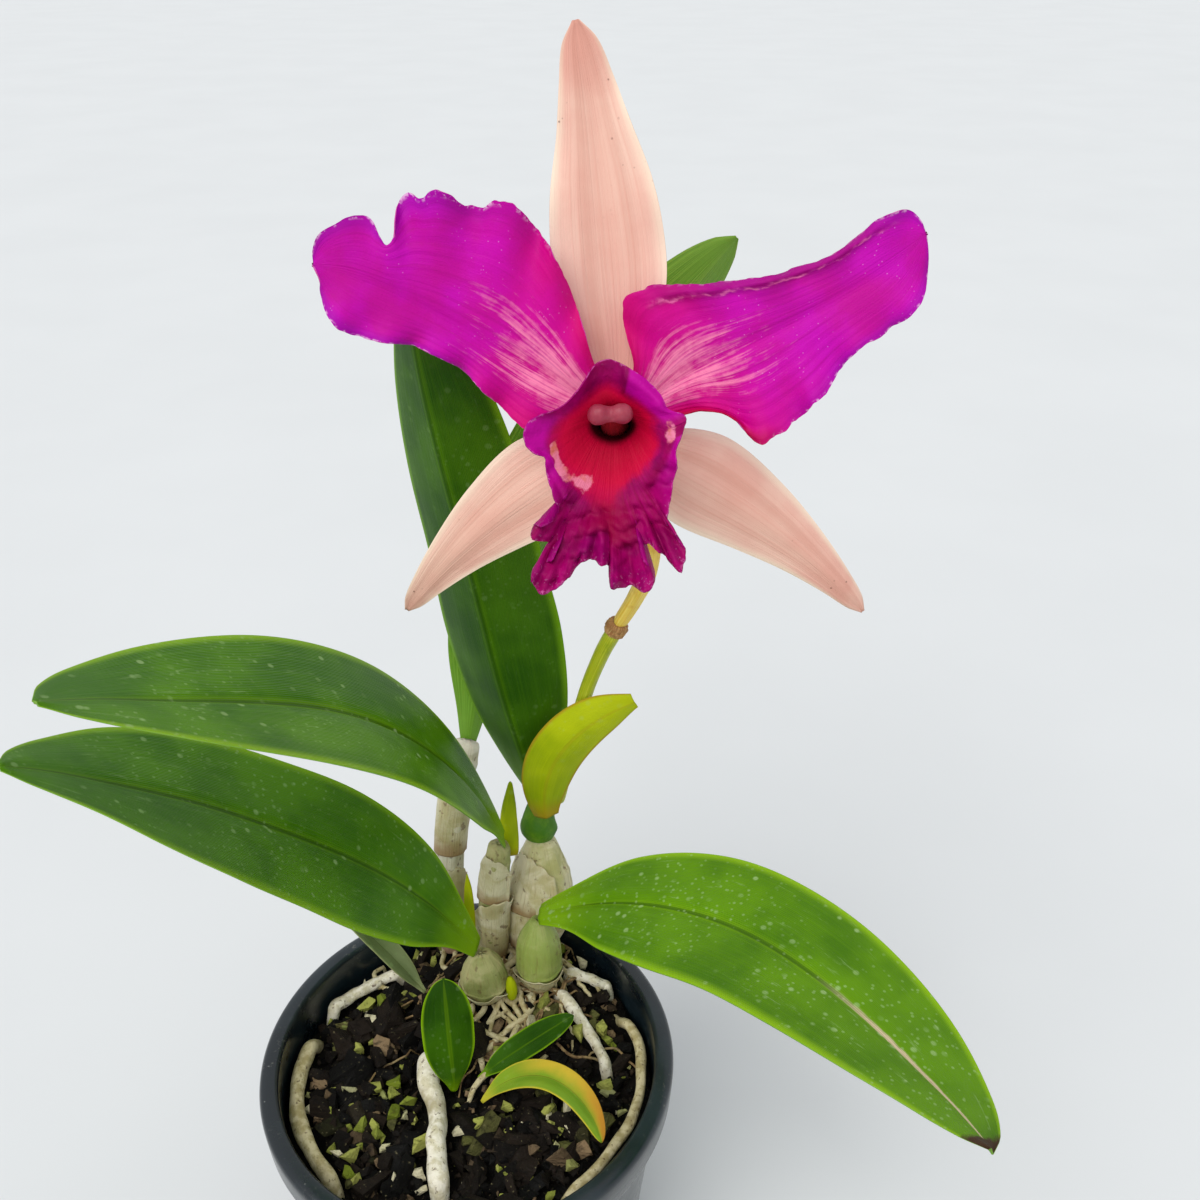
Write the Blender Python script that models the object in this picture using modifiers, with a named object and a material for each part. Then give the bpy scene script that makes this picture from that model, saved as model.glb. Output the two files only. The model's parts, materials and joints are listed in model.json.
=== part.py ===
"""Potted cattleya-type orchid: nursery pot, bark mix, pseudobulbs, leaves, roots and one open flower.

Metres, +Z up. The origin is the centre of the flat underside of the pot. +Y is the side of the
pot the plant grows from, and the flower faces -Y.
"""
import bmesh
import bpy
import numpy as np
from math import cos, pi, radians, sin
from mathutils import Euler, Vector

MM = 0.001

# pot
POT_HEIGHT = 95.0
RIM_RADIUS = 56.0
RIM_DEPTH = 10.0
BODY_TOP_RADIUS = 52.5
BASE_RADIUS = 43.0
WALL = 1.6
FLOOR = 2.0
DRAIN_HOLES = 6
DRAIN_RADIUS = 4.0
DRAIN_CIRCLE = 29.0

# bark mix: level near the wall, heaped up round the bulbs
GAP = 0.35
MIX_LEVEL = 83.0
MOUND = 10.0
MOUND_CENTRE = (8.0, 30.0)
MOUND_SPREAD = 18.0

# the open flower
FLOWER_CENTRE = (40.0, 18.0, 268.0)
FLOWER_TILT = 12.0

# half-width of a leaf along its length, as (position, share of the widest)
LEAF_OUTLINE = [(0, 0.14), (0.08, 0.32), (0.2, 0.69), (0.35, 0.94), (0.5, 1.0),
                (0.65, 0.98), (0.8, 0.82), (0.92, 0.52), (0.975, 0.28), (1, 0.05)]
TALL_OUTLINE = [(0, 0.2), (0.08, 0.5), (0.2, 0.87), (0.35, 1.03), (0.5, 1.0),
                (0.65, 1.0), (0.8, 0.82), (0.92, 0.46), (0.975, 0.25), (1, 0.05)]
BROAD_TIP_OUTLINE = [(0, 0.14), (0.08, 0.32), (0.2, 0.69), (0.35, 0.93), (0.5, 1.0),
                     (0.65, 1.05), (0.8, 0.95), (0.92, 0.57), (0.975, 0.3), (1, 0.05)]
STRAP_OUTLINE = [(0, 0.6), (0.15, 0.9), (0.5, 1.0), (0.8, 0.75), (1, 0.12)]

for old in list(bpy.data.objects):
    bpy.data.objects.remove(old, do_unlink=True)

plant = bpy.data.collections.new("potted_orchid")
bpy.context.scene.collection.children.link(plant)
cutters = bpy.data.collections.new("cutters")
bpy.context.scene.collection.children.link(cutters)


def material(name, colour, roughness, metallic=0.0):
    made = bpy.data.materials.new(name)
    made.use_nodes = True
    shader = made.node_tree.nodes["Principled BSDF"]
    shader.inputs["Base Color"].default_value = (*colour, 1.0)
    shader.inputs["Roughness"].default_value = roughness
    shader.inputs["Metallic"].default_value = metallic
    return made


POT_PLASTIC = material("pot_plastic", (0.012, 0.022, 0.026), 0.35)
BARK = material("bark", (0.045, 0.022, 0.012), 0.9)
CHIP_BARK = material("chip_bark", (0.10, 0.045, 0.022), 0.85)
PAPERY_BULB = material("papery_bulb", (0.52, 0.45, 0.24), 0.6)
GREEN_BULB = material("green_bulb", (0.20, 0.29, 0.06), 0.5)
OLD_BULB = material("old_bulb", (0.60, 0.55, 0.40), 0.65)
LEAF_GREEN = material("leaf_green", (0.055, 0.17, 0.012), 0.4)
TALL_LEAF_GREEN = material("tall_leaf_green", (0.045, 0.13, 0.015), 0.42)
OLD_LEAF_GREY = material("old_leaf_grey", (0.30, 0.36, 0.20), 0.6)
YELLOW_LEAF = material("yellow_leaf", (0.52, 0.50, 0.05), 0.5)
SHEATH_GREEN = material("sheath_green", (0.40, 0.45, 0.01), 0.5)
STALK_GREEN = material("stalk_green", (0.36, 0.40, 0.01), 0.45)
PEDICEL_YELLOW = material("pedicel_yellow", (0.85, 0.60, 0.08), 0.5)
BRACT_BROWN = material("bract_brown", (0.20, 0.09, 0.03), 0.8)
ROOT_WHITE = material("root_white", (0.72, 0.70, 0.55), 0.7)
SEPAL_PEACH = material("sepal_peach", (0.83, 0.50, 0.36), 0.5)
PETAL_MAGENTA = material("petal_magenta", (0.56, 0.004, 0.32), 0.5)
LIP_CRIMSON = material("lip_crimson", (0.30, 0.002, 0.09), 0.5)
COLUMN_PINK = material("column_pink", (0.70, 0.16, 0.40), 0.45)
CAP_PINK = material("cap_pink", (0.80, 0.45, 0.55), 0.4)


def finish(name, mesh, skin, parent=None):
    thing = bpy.data.objects.new(name, mesh)
    mesh.materials.append(skin)
    plant.objects.link(thing)
    thing.parent = parent
    return thing


def value_along(stations, places):
    """Smooth curve through the stations; plain numbers are spread evenly from 0 to 1."""
    table = np.array(stations, float)
    if table.ndim == 1:
        table = np.stack([np.linspace(0, 1, len(table)), table], -1)
    xs, ys = table[:, 0], table[:, 1]
    slopes = np.empty(len(xs))
    slopes[0] = (ys[1] - ys[0]) / (xs[1] - xs[0])
    slopes[-1] = (ys[-1] - ys[-2]) / (xs[-1] - xs[-2])
    slopes[1:-1] = (ys[2:] - ys[:-2]) / (xs[2:] - xs[:-2])
    k = np.clip(np.searchsorted(xs, places, side="right") - 1, 0, len(xs) - 2)
    step = xs[k + 1] - xs[k]
    s = (places - xs[k]) / step
    return ((2 * s**3 - 3 * s**2 + 1) * ys[k] + (s**3 - 2 * s**2 + s) * step * slopes[k]
            + (3 * s**2 - 2 * s**3) * ys[k + 1] + (s**3 - s**2) * step * slopes[k + 1])


def path_through(points, count):
    table = np.array(points, float)
    along = np.concatenate([[0], np.cumsum(np.linalg.norm(np.diff(table, axis=0), axis=1))])
    along = along / along[-1]
    places = np.linspace(0, 1, count)
    axes = [value_along(np.stack([along, table[:, i]], -1), places) for i in range(3)]
    return np.stack(axes, -1)


def blade(name, skin, base, heading, turn, pitch, length, width, roll=(0, 0), fold=5.0,
          outline=LEAF_OUTLINE, far_outline=None, thickness=1.6, rows=16, columns=4,
          ripple=0.0, ripples=4, parent=None):
    """A leaf, sepal or petal: a bending midrib with a left and a right half hung on it."""
    bm = bmesh.new()
    bmesh.ops.create_grid(bm, x_segments=rows, y_segments=columns, size=0.5)
    t_of = np.array([v.co.x + 0.5 for v in bm.verts])
    s_of = np.array([v.co.y * -2 for v in bm.verts])
    fine = np.linspace(0, 1, 241)
    rise = np.radians(value_along(pitch, fine))
    way = np.radians(heading + turn * fine)
    ahead = np.stack([np.cos(rise) * np.cos(way), np.cos(rise) * np.sin(way), np.sin(rise)], -1)
    steps = (ahead[1:] + ahead[:-1]) / 2 * length / 240
    midrib = np.array(base) + np.concatenate([np.zeros((1, 3)), np.cumsum(steps, 0)])
    row = np.rint(t_of * 240).astype(int)
    side = np.stack([np.sin(way), -np.cos(way), 0 * way], -1)
    up = np.cross(side, ahead)
    bank = np.radians(value_along(roll, fine))[:, None]
    right = (side * np.cos(bank) + up * np.sin(bank))[row]
    face = (up * np.cos(bank) - side * np.sin(bank))[row]
    near_half = width * np.maximum(value_along(outline, t_of), 0.02)
    far_half = width * np.maximum(value_along(far_outline or outline, t_of), 0.02)
    half = np.where(s_of > 0, near_half, far_half)
    wave = ripple * s_of**2 * np.sin(pi * t_of) * np.sin(2 * pi * ripples * t_of + s_of)
    lift = sin(radians(fold)) * np.abs(s_of)**1.3 * half + wave
    spots = midrib[row] + right * (s_of * cos(radians(fold)) * half)[:, None] + face * lift[:, None]
    for vert, spot in zip(bm.verts, spots):
        vert.co = spot * MM
    mesh = bpy.data.meshes.new(name)
    bm.to_mesh(mesh)
    bm.free()
    thing = finish(name, mesh, skin, parent)
    return thicken(thing, thickness)


def thicken(thing, thickness):
    solid = thing.modifiers.new("thickness", "SOLIDIFY")
    solid.thickness = thickness * MM
    solid.offset = 0
    return thing


def limb(name, skin, points, radii, rings=10, detail=2, flatten=1.0, parent=None):
    """A round stem, root or bulb through the points; flatten squeezes it front to back."""
    start = np.array(points[0], float)
    squeeze = np.array([1.0, flatten, 1.0])
    spine = path_through([(np.array(p) - start) / squeeze for p in points], rings + 1)
    sizes = np.maximum(value_along(radii, np.linspace(0, 1, rings + 1)), 0.3)
    curve = bpy.data.curves.new(name, "CURVE")
    curve.dimensions = "3D"
    curve.twist_mode = "MINIMUM"
    curve.bevel_depth = MM
    curve.bevel_resolution = detail
    curve.use_fill_caps = True
    spline = curve.splines.new("POLY")
    spline.points.add(rings)
    for point, spot, size in zip(spline.points, spine, sizes):
        point.co = (*(spot * MM), 1.0)
        point.radius = size
    thing = finish(name, curve, skin, parent)
    thing.location = Vector(start) * MM
    thing.scale = (1.0, flatten, 1.0)
    return thing


def mix_top(x, y):
    away = (x - MOUND_CENTRE[0])**2 + (y - MOUND_CENTRE[1])**2
    return MIX_LEVEL + MOUND * np.exp(-away / (2 * MOUND_SPREAD**2))


def inner_radius(z):
    top = BODY_TOP_RADIUS - WALL
    bottom = BASE_RADIUS - WALL
    return bottom + (top - bottom) * min(z / (POT_HEIGHT - RIM_DEPTH), 1.0)


# ---------------------------------------------------------------- pot and bark mix
def pot_profile():
    shoulder = POT_HEIGHT - RIM_DEPTH
    inside_top = BODY_TOP_RADIUS - WALL
    return [
        (0, FLOOR), (inner_radius(FLOOR), FLOOR), (inside_top, shoulder),
        (inside_top, POT_HEIGHT - 0.8), (inside_top + 0.8, POT_HEIGHT),
        (RIM_RADIUS - 1.2, POT_HEIGHT), (RIM_RADIUS - 0.3, POT_HEIGHT - 0.5),
        (RIM_RADIUS, POT_HEIGHT - 1.6), (RIM_RADIUS - 0.5, shoulder),
        (BODY_TOP_RADIUS + 0.2, shoulder - 0.6), (BODY_TOP_RADIUS - 0.4, shoulder - 3.0),
        (BASE_RADIUS + 0.6, 1.2), (BASE_RADIUS - 0.6, 0), (0, 0),
    ]


def turned(name, profile, skin, steps):
    bm = bmesh.new()
    verts = [bm.verts.new((r * MM, 0, z * MM)) for r, z in profile]
    for a, b in zip(verts, verts[1:]):
        bm.edges.new((a, b))
    mesh = bpy.data.meshes.new(name)
    bm.to_mesh(mesh)
    bm.free()
    thing = finish(name, mesh, skin)
    screw = thing.modifiers.new("turn", "SCREW")
    screw.steps = steps
    screw.render_steps = steps
    screw.use_merge_vertices = True
    screw.merge_threshold = 0.00001
    screw.use_normal_calculate = True
    return thing


pot = turned("pot", pot_profile()[::-1], POT_PLASTIC, 48)

bpy.ops.mesh.primitive_cylinder_add(vertices=16, radius=DRAIN_RADIUS * MM, depth=0.012)
drill = bpy.context.object
for k in range(DRAIN_HOLES):
    hole = drill if k == 0 else drill.copy()
    a = 2 * pi * k / DRAIN_HOLES
    hole.name = f"drain_cutter_{k + 1}"
    hole.location = (DRAIN_CIRCLE * MM * cos(a), DRAIN_CIRCLE * MM * sin(a), 0)
    for held in list(hole.users_collection):
        held.objects.unlink(hole)
    cutters.objects.link(hole)
    hole.hide_render = True
    hole.display_type = "WIRE"
    cut = pot.modifiers.new(f"drain_{k + 1}", "BOOLEAN")
    cut.operation = "DIFFERENCE"
    cut.solver = "EXACT"
    cut.object = hole


def bark_mix():
    """Fills the pot from its floor to the heaped top, just clear of the wall."""
    rim = inner_radius(MIX_LEVEL) - GAP
    profile = [(0, MIX_LEVEL)] + [(share * rim, MIX_LEVEL) for share in (0.15, 0.3, 0.45, 0.6, 0.75, 0.9)]
    profile += [(inner_radius(z) - GAP, z) for z in (MIX_LEVEL - 1.0, 45.0, FLOOR + GAP)]
    profile.append((0, FLOOR + GAP))
    bm = bmesh.new()
    verts = [bm.verts.new((r * MM, 0, z * MM)) for r, z in profile]
    edges = [bm.edges.new(pair) for pair in zip(verts, verts[1:])]
    bmesh.ops.spin(bm, geom=verts + edges, axis=(0, 0, 1), cent=(0, 0, 0), steps=32, angle=2 * pi)
    bmesh.ops.remove_doubles(bm, verts=bm.verts, dist=0.00001)
    for vert in bm.verts:
        if vert.co.z > (MIX_LEVEL - 0.5) * MM:
            vert.co.z = mix_top(vert.co.x / MM, vert.co.y / MM) * MM
    bmesh.ops.recalc_face_normals(bm, faces=bm.faces)
    mesh = bpy.data.meshes.new("potting_mix")
    bm.to_mesh(mesh)
    bm.free()
    return finish("potting_mix", mesh, BARK)


bark_mix()


def chip(name, x, y, size, spin, lean):
    """A flat, tapering chip of bark lying on the mix."""
    bm = bmesh.new()
    bmesh.ops.create_cube(bm, size=1.0)
    turnabout = Euler((radians(lean), radians(lean * 0.6), radians(spin))).to_matrix()
    for vert in bm.verts:
        taper = 1.0 - 0.3 * (vert.co.x + 0.5) - 0.15 * (vert.co.z + 0.5)
        shape = Vector((vert.co.x * size[0], vert.co.y * size[1] * taper, vert.co.z * size[2]))
        vert.co = turnabout @ shape
    stand = max(mix_top(x + v.co.x, y + v.co.y) - v.co.z for v in bm.verts) + GAP
    for vert in bm.verts:
        vert.co *= MM
    mesh = bpy.data.meshes.new(name)
    bm.to_mesh(mesh)
    bm.free()
    thing = finish(name, mesh, CHIP_BARK)
    thing.location = (x * MM, y * MM, stand * MM)
    bevel = thing.modifiers.new("worn_edges", "BEVEL")
    bevel.width = 0.8 * MM
    bevel.segments = 1
    return thing


chip("bark_chip_1", -33, -8, (14, 9, 5), 25, 3)
chip("bark_chip_2", -20, -24, (15, 10, 5), -35, 4)
chip("bark_chip_3", 8, -33, (15, 11, 6), 60, -3)
chip("bark_chip_4", 28, -18, (16, 10, 5), 120, 4)
chip("bark_chip_5", -31, 9, (13, 9, 5), -15, 3)
chip("bark_chip_6", -21, -6, (12, 8, 4), 80, 3)


# ---------------------------------------------------------------- pseudobulbs
def bulb(name, skin, points, radii, rings=9):
    x, y = points[0][0], points[0][1]
    foot = (x, y, mix_top(x, y) + 1.8)
    return limb(name, skin, [foot, *points[1:]], radii, rings, detail=4)


bulb("pseudobulb_front", PAPERY_BULB,
     [(14.6, 36.6, 0), (16.8, 42.6, 103), (18.2, 46, 113), (18.5, 47, 122), (18.5, 47.3, 128.5)],
     [3.8, 8.0, 9.8, 9.4, 7.0, 4.0], rings=10)
bulb("pseudobulb_green", GREEN_BULB,
     [(18.2, 26.0, 0), (18.2, 26.2, 104), (18.4, 26.8, 116.4)], [3.6, 6.2, 6.5, 5.6, 2.4])
bulb("pseudobulb_middle", GREEN_BULB,
     [(4.4, 36.0, 0), (4.6, 36.0, 112), (7.4, 36.2, 136.4)], [3.4, 4.3, 4.3, 3.9, 3.2])
bulb("pseudobulb_left", GREEN_BULB,
     [(2.9, 21.5, 0), (2.6, 21.8, 99), (1.8, 22.6, 107.6)], [3.8, 6.4, 6.6, 5.4, 2.8])
bulb("pseudobulb_back", OLD_BULB,
     [(-9.0, 41.5, 0), (-9.3, 46.0, 112), (-7.2, 52.5, 136), (-2.6, 59.0, 156)],
     [3.4, 4.3, 4.2, 4.4, 3.8], rings=10)

# ---------------------------------------------------------------- leaves
limb("leaf_petiole", TALL_LEAF_GREEN, [(18.4, 47.6, 129.9), (18.2, 48.2, 136), (18.6, 49.0, 140.4)],
     [4.0, 5.8, 5.6, 4.0], rings=5, detail=4, flatten=0.55)
blade("leaf_tall", TALL_LEAF_GREEN, (19.0, 49.2, 141.2), 197, 14, [74, 80, 80, 86], 161, 18.3,
      roll=(-62, -28), fold=26, outline=TALL_OUTLINE, rows=20)
blade("leaf_back", LEAF_GREEN, (-1.8, 60.4, 157.4), 6, 2, [82, 70, 57, 45], 166, 17.0,
      roll=(80, 80), fold=14, rows=20)
blade("leaf_upper_left", LEAF_GREEN, (8.6, 36.0, 138.2), 225, 8, [72, 52, 31, 28], 159, 23.9,
      roll=(35, 3), fold=4, rows=20)
blade("leaf_lower_left", LEAF_GREEN, (0.8, 23.4, 108.8), 198, 27, [65, 48, 43, 35], 150, 21.6,
      roll=(42, 0), fold=3, outline=BROAD_TIP_OUTLINE, rows=20)
blade("leaf_right", LEAF_GREEN, (19.0, 27.2, 118.0), -18, -50, [34, 16, -1, 5], 144, 22.5,
      roll=(-23, 22), fold=4, rows=20)
blade("leaf_old", OLD_LEAF_GREY, (-15.5, 24.0, 90.0), 176, 10, [62, 42, 28, 18], 52, 7.5,
      roll=(45, 30), fold=16, rows=10)
blade("leaf_small_upright", LEAF_GREEN, (-4.0, -5.6, 85.2), 285, -7, [95, 106, 108, 99], 35, 7.1,
      fold=8, thickness=1.2, rows=10)
blade("leaf_small_right", LEAF_GREEN, (2.6, -3.0, 86.6), 25, 9, [31, 18, 10, 2], 31, 4.0,
      roll=(-10, -20), fold=9, thickness=1.2, rows=10)
blade("leaf_yellowing", YELLOW_LEAF, (4.0, -9.6, 85.4), 24, -98, [52, 22, -8, -26], 45, 4.2,
      roll=(-20, 0), fold=15, thickness=1.2, rows=10)

# ---------------------------------------------------------------- bracts and buds on the bulbs
limb("bract_stub", SHEATH_GREEN, [(10.0, 41.6, 128), (10.0, 42.0, 142), (10.4, 42.4, 152)],
     [2.4, 3.0, 2.8, 1.2], rings=6, flatten=0.5)
blade("bract_thin", SHEATH_GREEN, (-1.6, 30.4, 101), 95, 0, [84, 84, 88], 27, 1.5,
      outline=STRAP_OUTLINE, thickness=0.9, rows=6, columns=2)
limb("eye_bud", SHEATH_GREEN, [(10.6, 18.6, 93.4), (10.6, 18.8, 97), (10.2, 19.0, 102)],
     [1.2, 1.6, 1.5, 0.6], rings=5)

# ---------------------------------------------------------------- flower stalk
blade("flower_sheath", SHEATH_GREEN, (20.8, 39.6, 143.0), 2, -2, [100, 78, 56, 38, 26], 50, 8.2,
      roll=(90, 90), fold=20, outline=[(0, 0.45), (0.25, 0.9), (0.55, 1.0), (0.8, 0.8), (1, 0.3)],
      thickness=1.0, rows=10)
limb("flower_stalk", STALK_GREEN,
     [(23.6, 44.6, 144.5), (28.0, 46.0, 164), (32.0, 45.0, 182), (36.4, 42.4, 196.5), (39.6, 40.2, 204)],
     [2.1, 2.1, 2.0, 2.0, 2.2], rings=9)
limb("stalk_bract", BRACT_BROWN, [(39.8, 40.1, 204.6), (40.6, 39.5, 207.4)], [2.7, 2.9, 2.5],
     rings=3)
limb("pedicel", PEDICEL_YELLOW,
     [(40.8, 39.3, 208), (44.6, 36.8, 216.5), (47.4, 33.8, 226), (47.6, 30.4, 240),
      (43.4, 26.2, 254), (40.4, 22.8, 263.0), (40.0, 18.6, 268.0)],
     [1.9, 2.1, 2.3, 2.4, 2.4, 2.6, 3.6, 4.2], rings=16)

# ---------------------------------------------------------------- the open flower
flower = bpy.data.objects.new("flower", None)
flower.location = Vector(FLOWER_CENTRE) * MM
flower.rotation_euler = (radians(90 - FLOWER_TILT), 0, 0)
plant.objects.link(flower)

SEPAL_OUTLINE = [(0, 0.3), (0.15, 0.68), (0.33, 0.97), (0.45, 1.0), (0.6, 0.88), (0.74, 0.64),
                 (0.86, 0.46), (0.95, 0.3), (1, 0.06)]
LATERAL_OUTLINE = [(0, 0.42), (0.12, 0.84), (0.24, 1.0), (0.45, 0.82), (0.66, 0.56), (0.84, 0.34),
                   (0.95, 0.2), (1, 0.05)]
blade("sepal_dorsal", SEPAL_PEACH, (-0.4, 5.2, -1.4), 91.4, 10, [-5, -1, 1, 3], 76, 11.8,
      fold=6, outline=SEPAL_OUTLINE, thickness=1.1, rows=14, ripple=0.8, ripples=2, parent=flower)
blade("sepal_left", SEPAL_PEACH, (-4.4, -4.0, -2.0), 209, 26, [-4, -10, -14, -18], 63, 11.0,
      fold=-4, outline=LATERAL_OUTLINE, thickness=1.1, rows=14, parent=flower)
blade("sepal_right", SEPAL_PEACH, (4.4, -4.0, -2.0), -25, -25, [-4, -10, -14, -16], 70, 11.2,
      fold=-4, outline=LATERAL_OUTLINE, thickness=1.1, rows=14, parent=flower)

LEFT_PETAL_UPPER = [(0, 0.16), (0.1, 0.37), (0.2, 0.61), (0.3, 0.8), (0.45, 1.0), (0.6, 0.91),
                    (0.75, 0.8), (0.88, 0.56), (0.96, 0.3), (1, 0.05)]
LEFT_PETAL_LOWER = [(0, 0.16), (0.1, 0.4), (0.22, 0.5), (0.35, 0.42), (0.5, 0.3), (0.65, 0.3),
                    (0.78, 0.36), (0.88, 0.34), (0.96, 0.22), (1, 0.05)]
RIGHT_PETAL_UPPER = [(0, 0.2), (0.06, 0.66), (0.14, 0.98), (0.27, 0.84), (0.42, 0.66), (0.57, 0.52),
                     (0.72, 0.47), (0.86, 0.52), (0.95, 0.42), (1, 0.06)]
RIGHT_PETAL_LOWER = [(0, 0.2), (0.08, 0.42), (0.16, 0.68), (0.26, 0.96), (0.38, 0.9), (0.52, 0.74),
                     (0.68, 0.62), (0.82, 0.54), (0.94, 0.34), (1, 0.06)]
blade("petal_left", PETAL_MAGENTA, (-4.9, 5.6, 1.9), 151.5, 3, [4, 4, 2, 0], 63, 27.0,
      fold=5, outline=LEFT_PETAL_UPPER, far_outline=LEFT_PETAL_LOWER, thickness=0.9,
      rows=16, columns=6, ripple=1.8, ripples=4, parent=flower)
blade("petal_right", PETAL_MAGENTA, (4.9, 5.6, 1.9), 29, 1, [4, 4, 2, 0], 65, 19.4,
      fold=5, outline=RIGHT_PETAL_LOWER, far_outline=RIGHT_PETAL_UPPER, thickness=0.9,
      rows=16, columns=6, ripple=1.6, ripples=4, parent=flower)

# distance of the lip's front margin from its axis, anticlockwise from the viewer's right
LIP_MARGIN = [12.8, 14.5, 16.4, 16.0, 16.2, 17.6, 18.2, 17.4, 16.2, 16.4, 17.8, 17.0, 13.0, 12.4,
              13.6, 22.0, 28.5, 27.0, 22.0, 27.4, 26.4, 24.0, 17.0, 13.4]
LIP_AXIS = (-2.0, 0.5)


def lip():
    """A trumpet round the column: side lobes above and beside it, a frilled lobe below."""
    sides = len(LIP_MARGIN)
    bm = bmesh.new()
    bmesh.ops.create_grid(bm, x_segments=sides, y_segments=5, size=0.5)
    for vert in bm.verts:
        step = round((vert.co.x + 0.5) * sides) % sides
        out = 0.5 - vert.co.y
        a = 2 * pi * step / sides
        flare = 12.4 + (LIP_MARGIN[step] - 12.4) * out**2.5
        r = 4.4 + (flare - 4.4) * out**0.8
        forward = 3.6 + 18.4 * out + 5.0 * max(-sin(a), 0) * out**2 - 6.0 * max(sin(a), 0) * out
        x = LIP_AXIS[0] * out + r * cos(a)
        vert.co = Vector((x, LIP_AXIS[1] + r * sin(a), forward)) * MM
    bmesh.ops.remove_doubles(bm, verts=bm.verts, dist=0.00001)
    mesh = bpy.data.meshes.new("lip")
    bm.to_mesh(mesh)
    bm.free()
    return thicken(finish("lip", mesh, LIP_CRIMSON, flower), 0.9)


lip()
limb("column", COLUMN_PINK, [(-0.3, 0.8, 1.4), (-1.2, 2.4, 9), (-2.0, 5.2, 15.6)],
     [3.0, 3.0, 3.4, 3.2], rings=6, parent=flower)
limb("anther_cap", CAP_PINK, [(-2.0, 5.6, 16.2), (-2.0, 6.2, 17.6), (-2.0, 6.4, 19.2)],
     [3.2, 3.6, 2.0], rings=4, parent=flower)


# ---------------------------------------------------------------- roots
def root(name, points, thick, lifts=0.0, rings=10):
    """A root lying on the mix; each point is (across, back)."""
    radius = thick / 2
    path = []
    for i, (x, y) in enumerate(points):
        lift = lifts[i] if lifts else 0.0
        path.append((x, y, mix_top(x, y) + radius + GAP + 0.25 + lift))
    return limb(name, ROOT_WHITE, path, [radius * 0.8, radius, radius, radius, radius * 0.6],
                rings)


root("root_front", [(-12.6, 4), (-10.6, -5), (-8.2, -14), (-6.6, -24), (-4.6, -35)], 5.4)
root("root_right", [(24.5, 22.5), (30, 16), (34.5, 9), (37.6, 2)], 3.4)
root("root_upper_right", [(27.5, 31), (33.5, 30), (38.5, 29)], 3.2, rings=6)
root("root_left", [(-43, 22), (-37, 27), (-31, 31.5), (-24, 34)], 3.6)
root("root_rim_left", [(-46, 12), (-47.4, 3), (-47.4, -5), (-45, -14), (-39.6, -24), (-31.6, -34)],
     4.2, rings=14)
root("root_rim_right", [(41.5, 20), (46.4, 11), (47.6, 2), (46.6, -8), (41.8, -19), (34.4, -30),
                        (25.6, -38)], 3.0, rings=16)
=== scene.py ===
"""Looks for the potted orchid: fine surfaces and materials over the CAD frame. Lengths in mm."""
import bpy
import bmesh
import json
import numpy as np
from math import cos, pi, radians, sin
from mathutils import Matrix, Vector

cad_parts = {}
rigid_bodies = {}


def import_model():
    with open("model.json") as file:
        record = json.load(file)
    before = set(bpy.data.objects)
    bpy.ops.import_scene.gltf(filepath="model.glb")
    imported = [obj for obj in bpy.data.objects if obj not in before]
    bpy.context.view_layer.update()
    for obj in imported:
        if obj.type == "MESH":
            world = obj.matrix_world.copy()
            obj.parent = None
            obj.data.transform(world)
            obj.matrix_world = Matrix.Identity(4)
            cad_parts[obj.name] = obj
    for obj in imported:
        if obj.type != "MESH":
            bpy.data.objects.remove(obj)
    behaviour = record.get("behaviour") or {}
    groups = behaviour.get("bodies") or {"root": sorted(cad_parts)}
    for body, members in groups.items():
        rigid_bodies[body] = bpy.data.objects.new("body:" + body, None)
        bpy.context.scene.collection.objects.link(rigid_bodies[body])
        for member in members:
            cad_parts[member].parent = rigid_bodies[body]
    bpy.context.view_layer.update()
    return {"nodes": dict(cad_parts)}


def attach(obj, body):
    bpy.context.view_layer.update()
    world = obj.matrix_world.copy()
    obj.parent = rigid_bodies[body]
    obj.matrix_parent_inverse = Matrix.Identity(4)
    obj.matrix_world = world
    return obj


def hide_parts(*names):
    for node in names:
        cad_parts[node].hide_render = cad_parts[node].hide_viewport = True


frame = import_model()
MM = 0.001

# ------------------------------------------------------------------ curves and smooth noise


def hermite(s, step, low, high, slope_low, slope_high):
    """Cubic from low to high, with the given slopes at its ends."""
    return ((2 * s**3 - 3 * s**2 + 1) * low + (s**3 - 2 * s**2 + s) * step * slope_low
            + (3 * s**2 - 2 * s**3) * high + (s**3 - s**2) * step * slope_high)


def along(stations, places):
    """Smooth curve through the stations; plain numbers are spread evenly from 0 to 1."""
    table = np.array(stations, float)
    if table.ndim == 1:
        table = np.stack([np.linspace(0, 1, len(table)), table], -1)
    xs, ys = table[:, 0], table[:, 1]
    slopes = np.empty(len(xs))
    slopes[0] = (ys[1] - ys[0]) / (xs[1] - xs[0])
    slopes[-1] = (ys[-1] - ys[-2]) / (xs[-1] - xs[-2])
    slopes[1:-1] = (ys[2:] - ys[:-2]) / (xs[2:] - xs[:-2])
    k = np.clip(np.searchsorted(xs, places, side="right") - 1, 0, len(xs) - 2)
    step = xs[k + 1] - xs[k]
    return hermite((places - xs[k]) / step, step, ys[k], ys[k + 1], slopes[k], slopes[k + 1])


def run_along(points, places, smooth=0):
    """Even steps along a smooth curve through the points; smooth rounds off its small notches."""
    table = np.array(points, float)
    run = np.concatenate([[0], np.cumsum(np.linalg.norm(np.diff(table, axis=0), axis=1))])
    curve = np.stack([along(np.stack([run / run[-1], column], -1), places) for column in table.T], -1)
    for _ in range(smooth):
        curve[1:-1] = (curve[:-2] + 2 * curve[1:-1] + curve[2:]) / 4
    return curve


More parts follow.
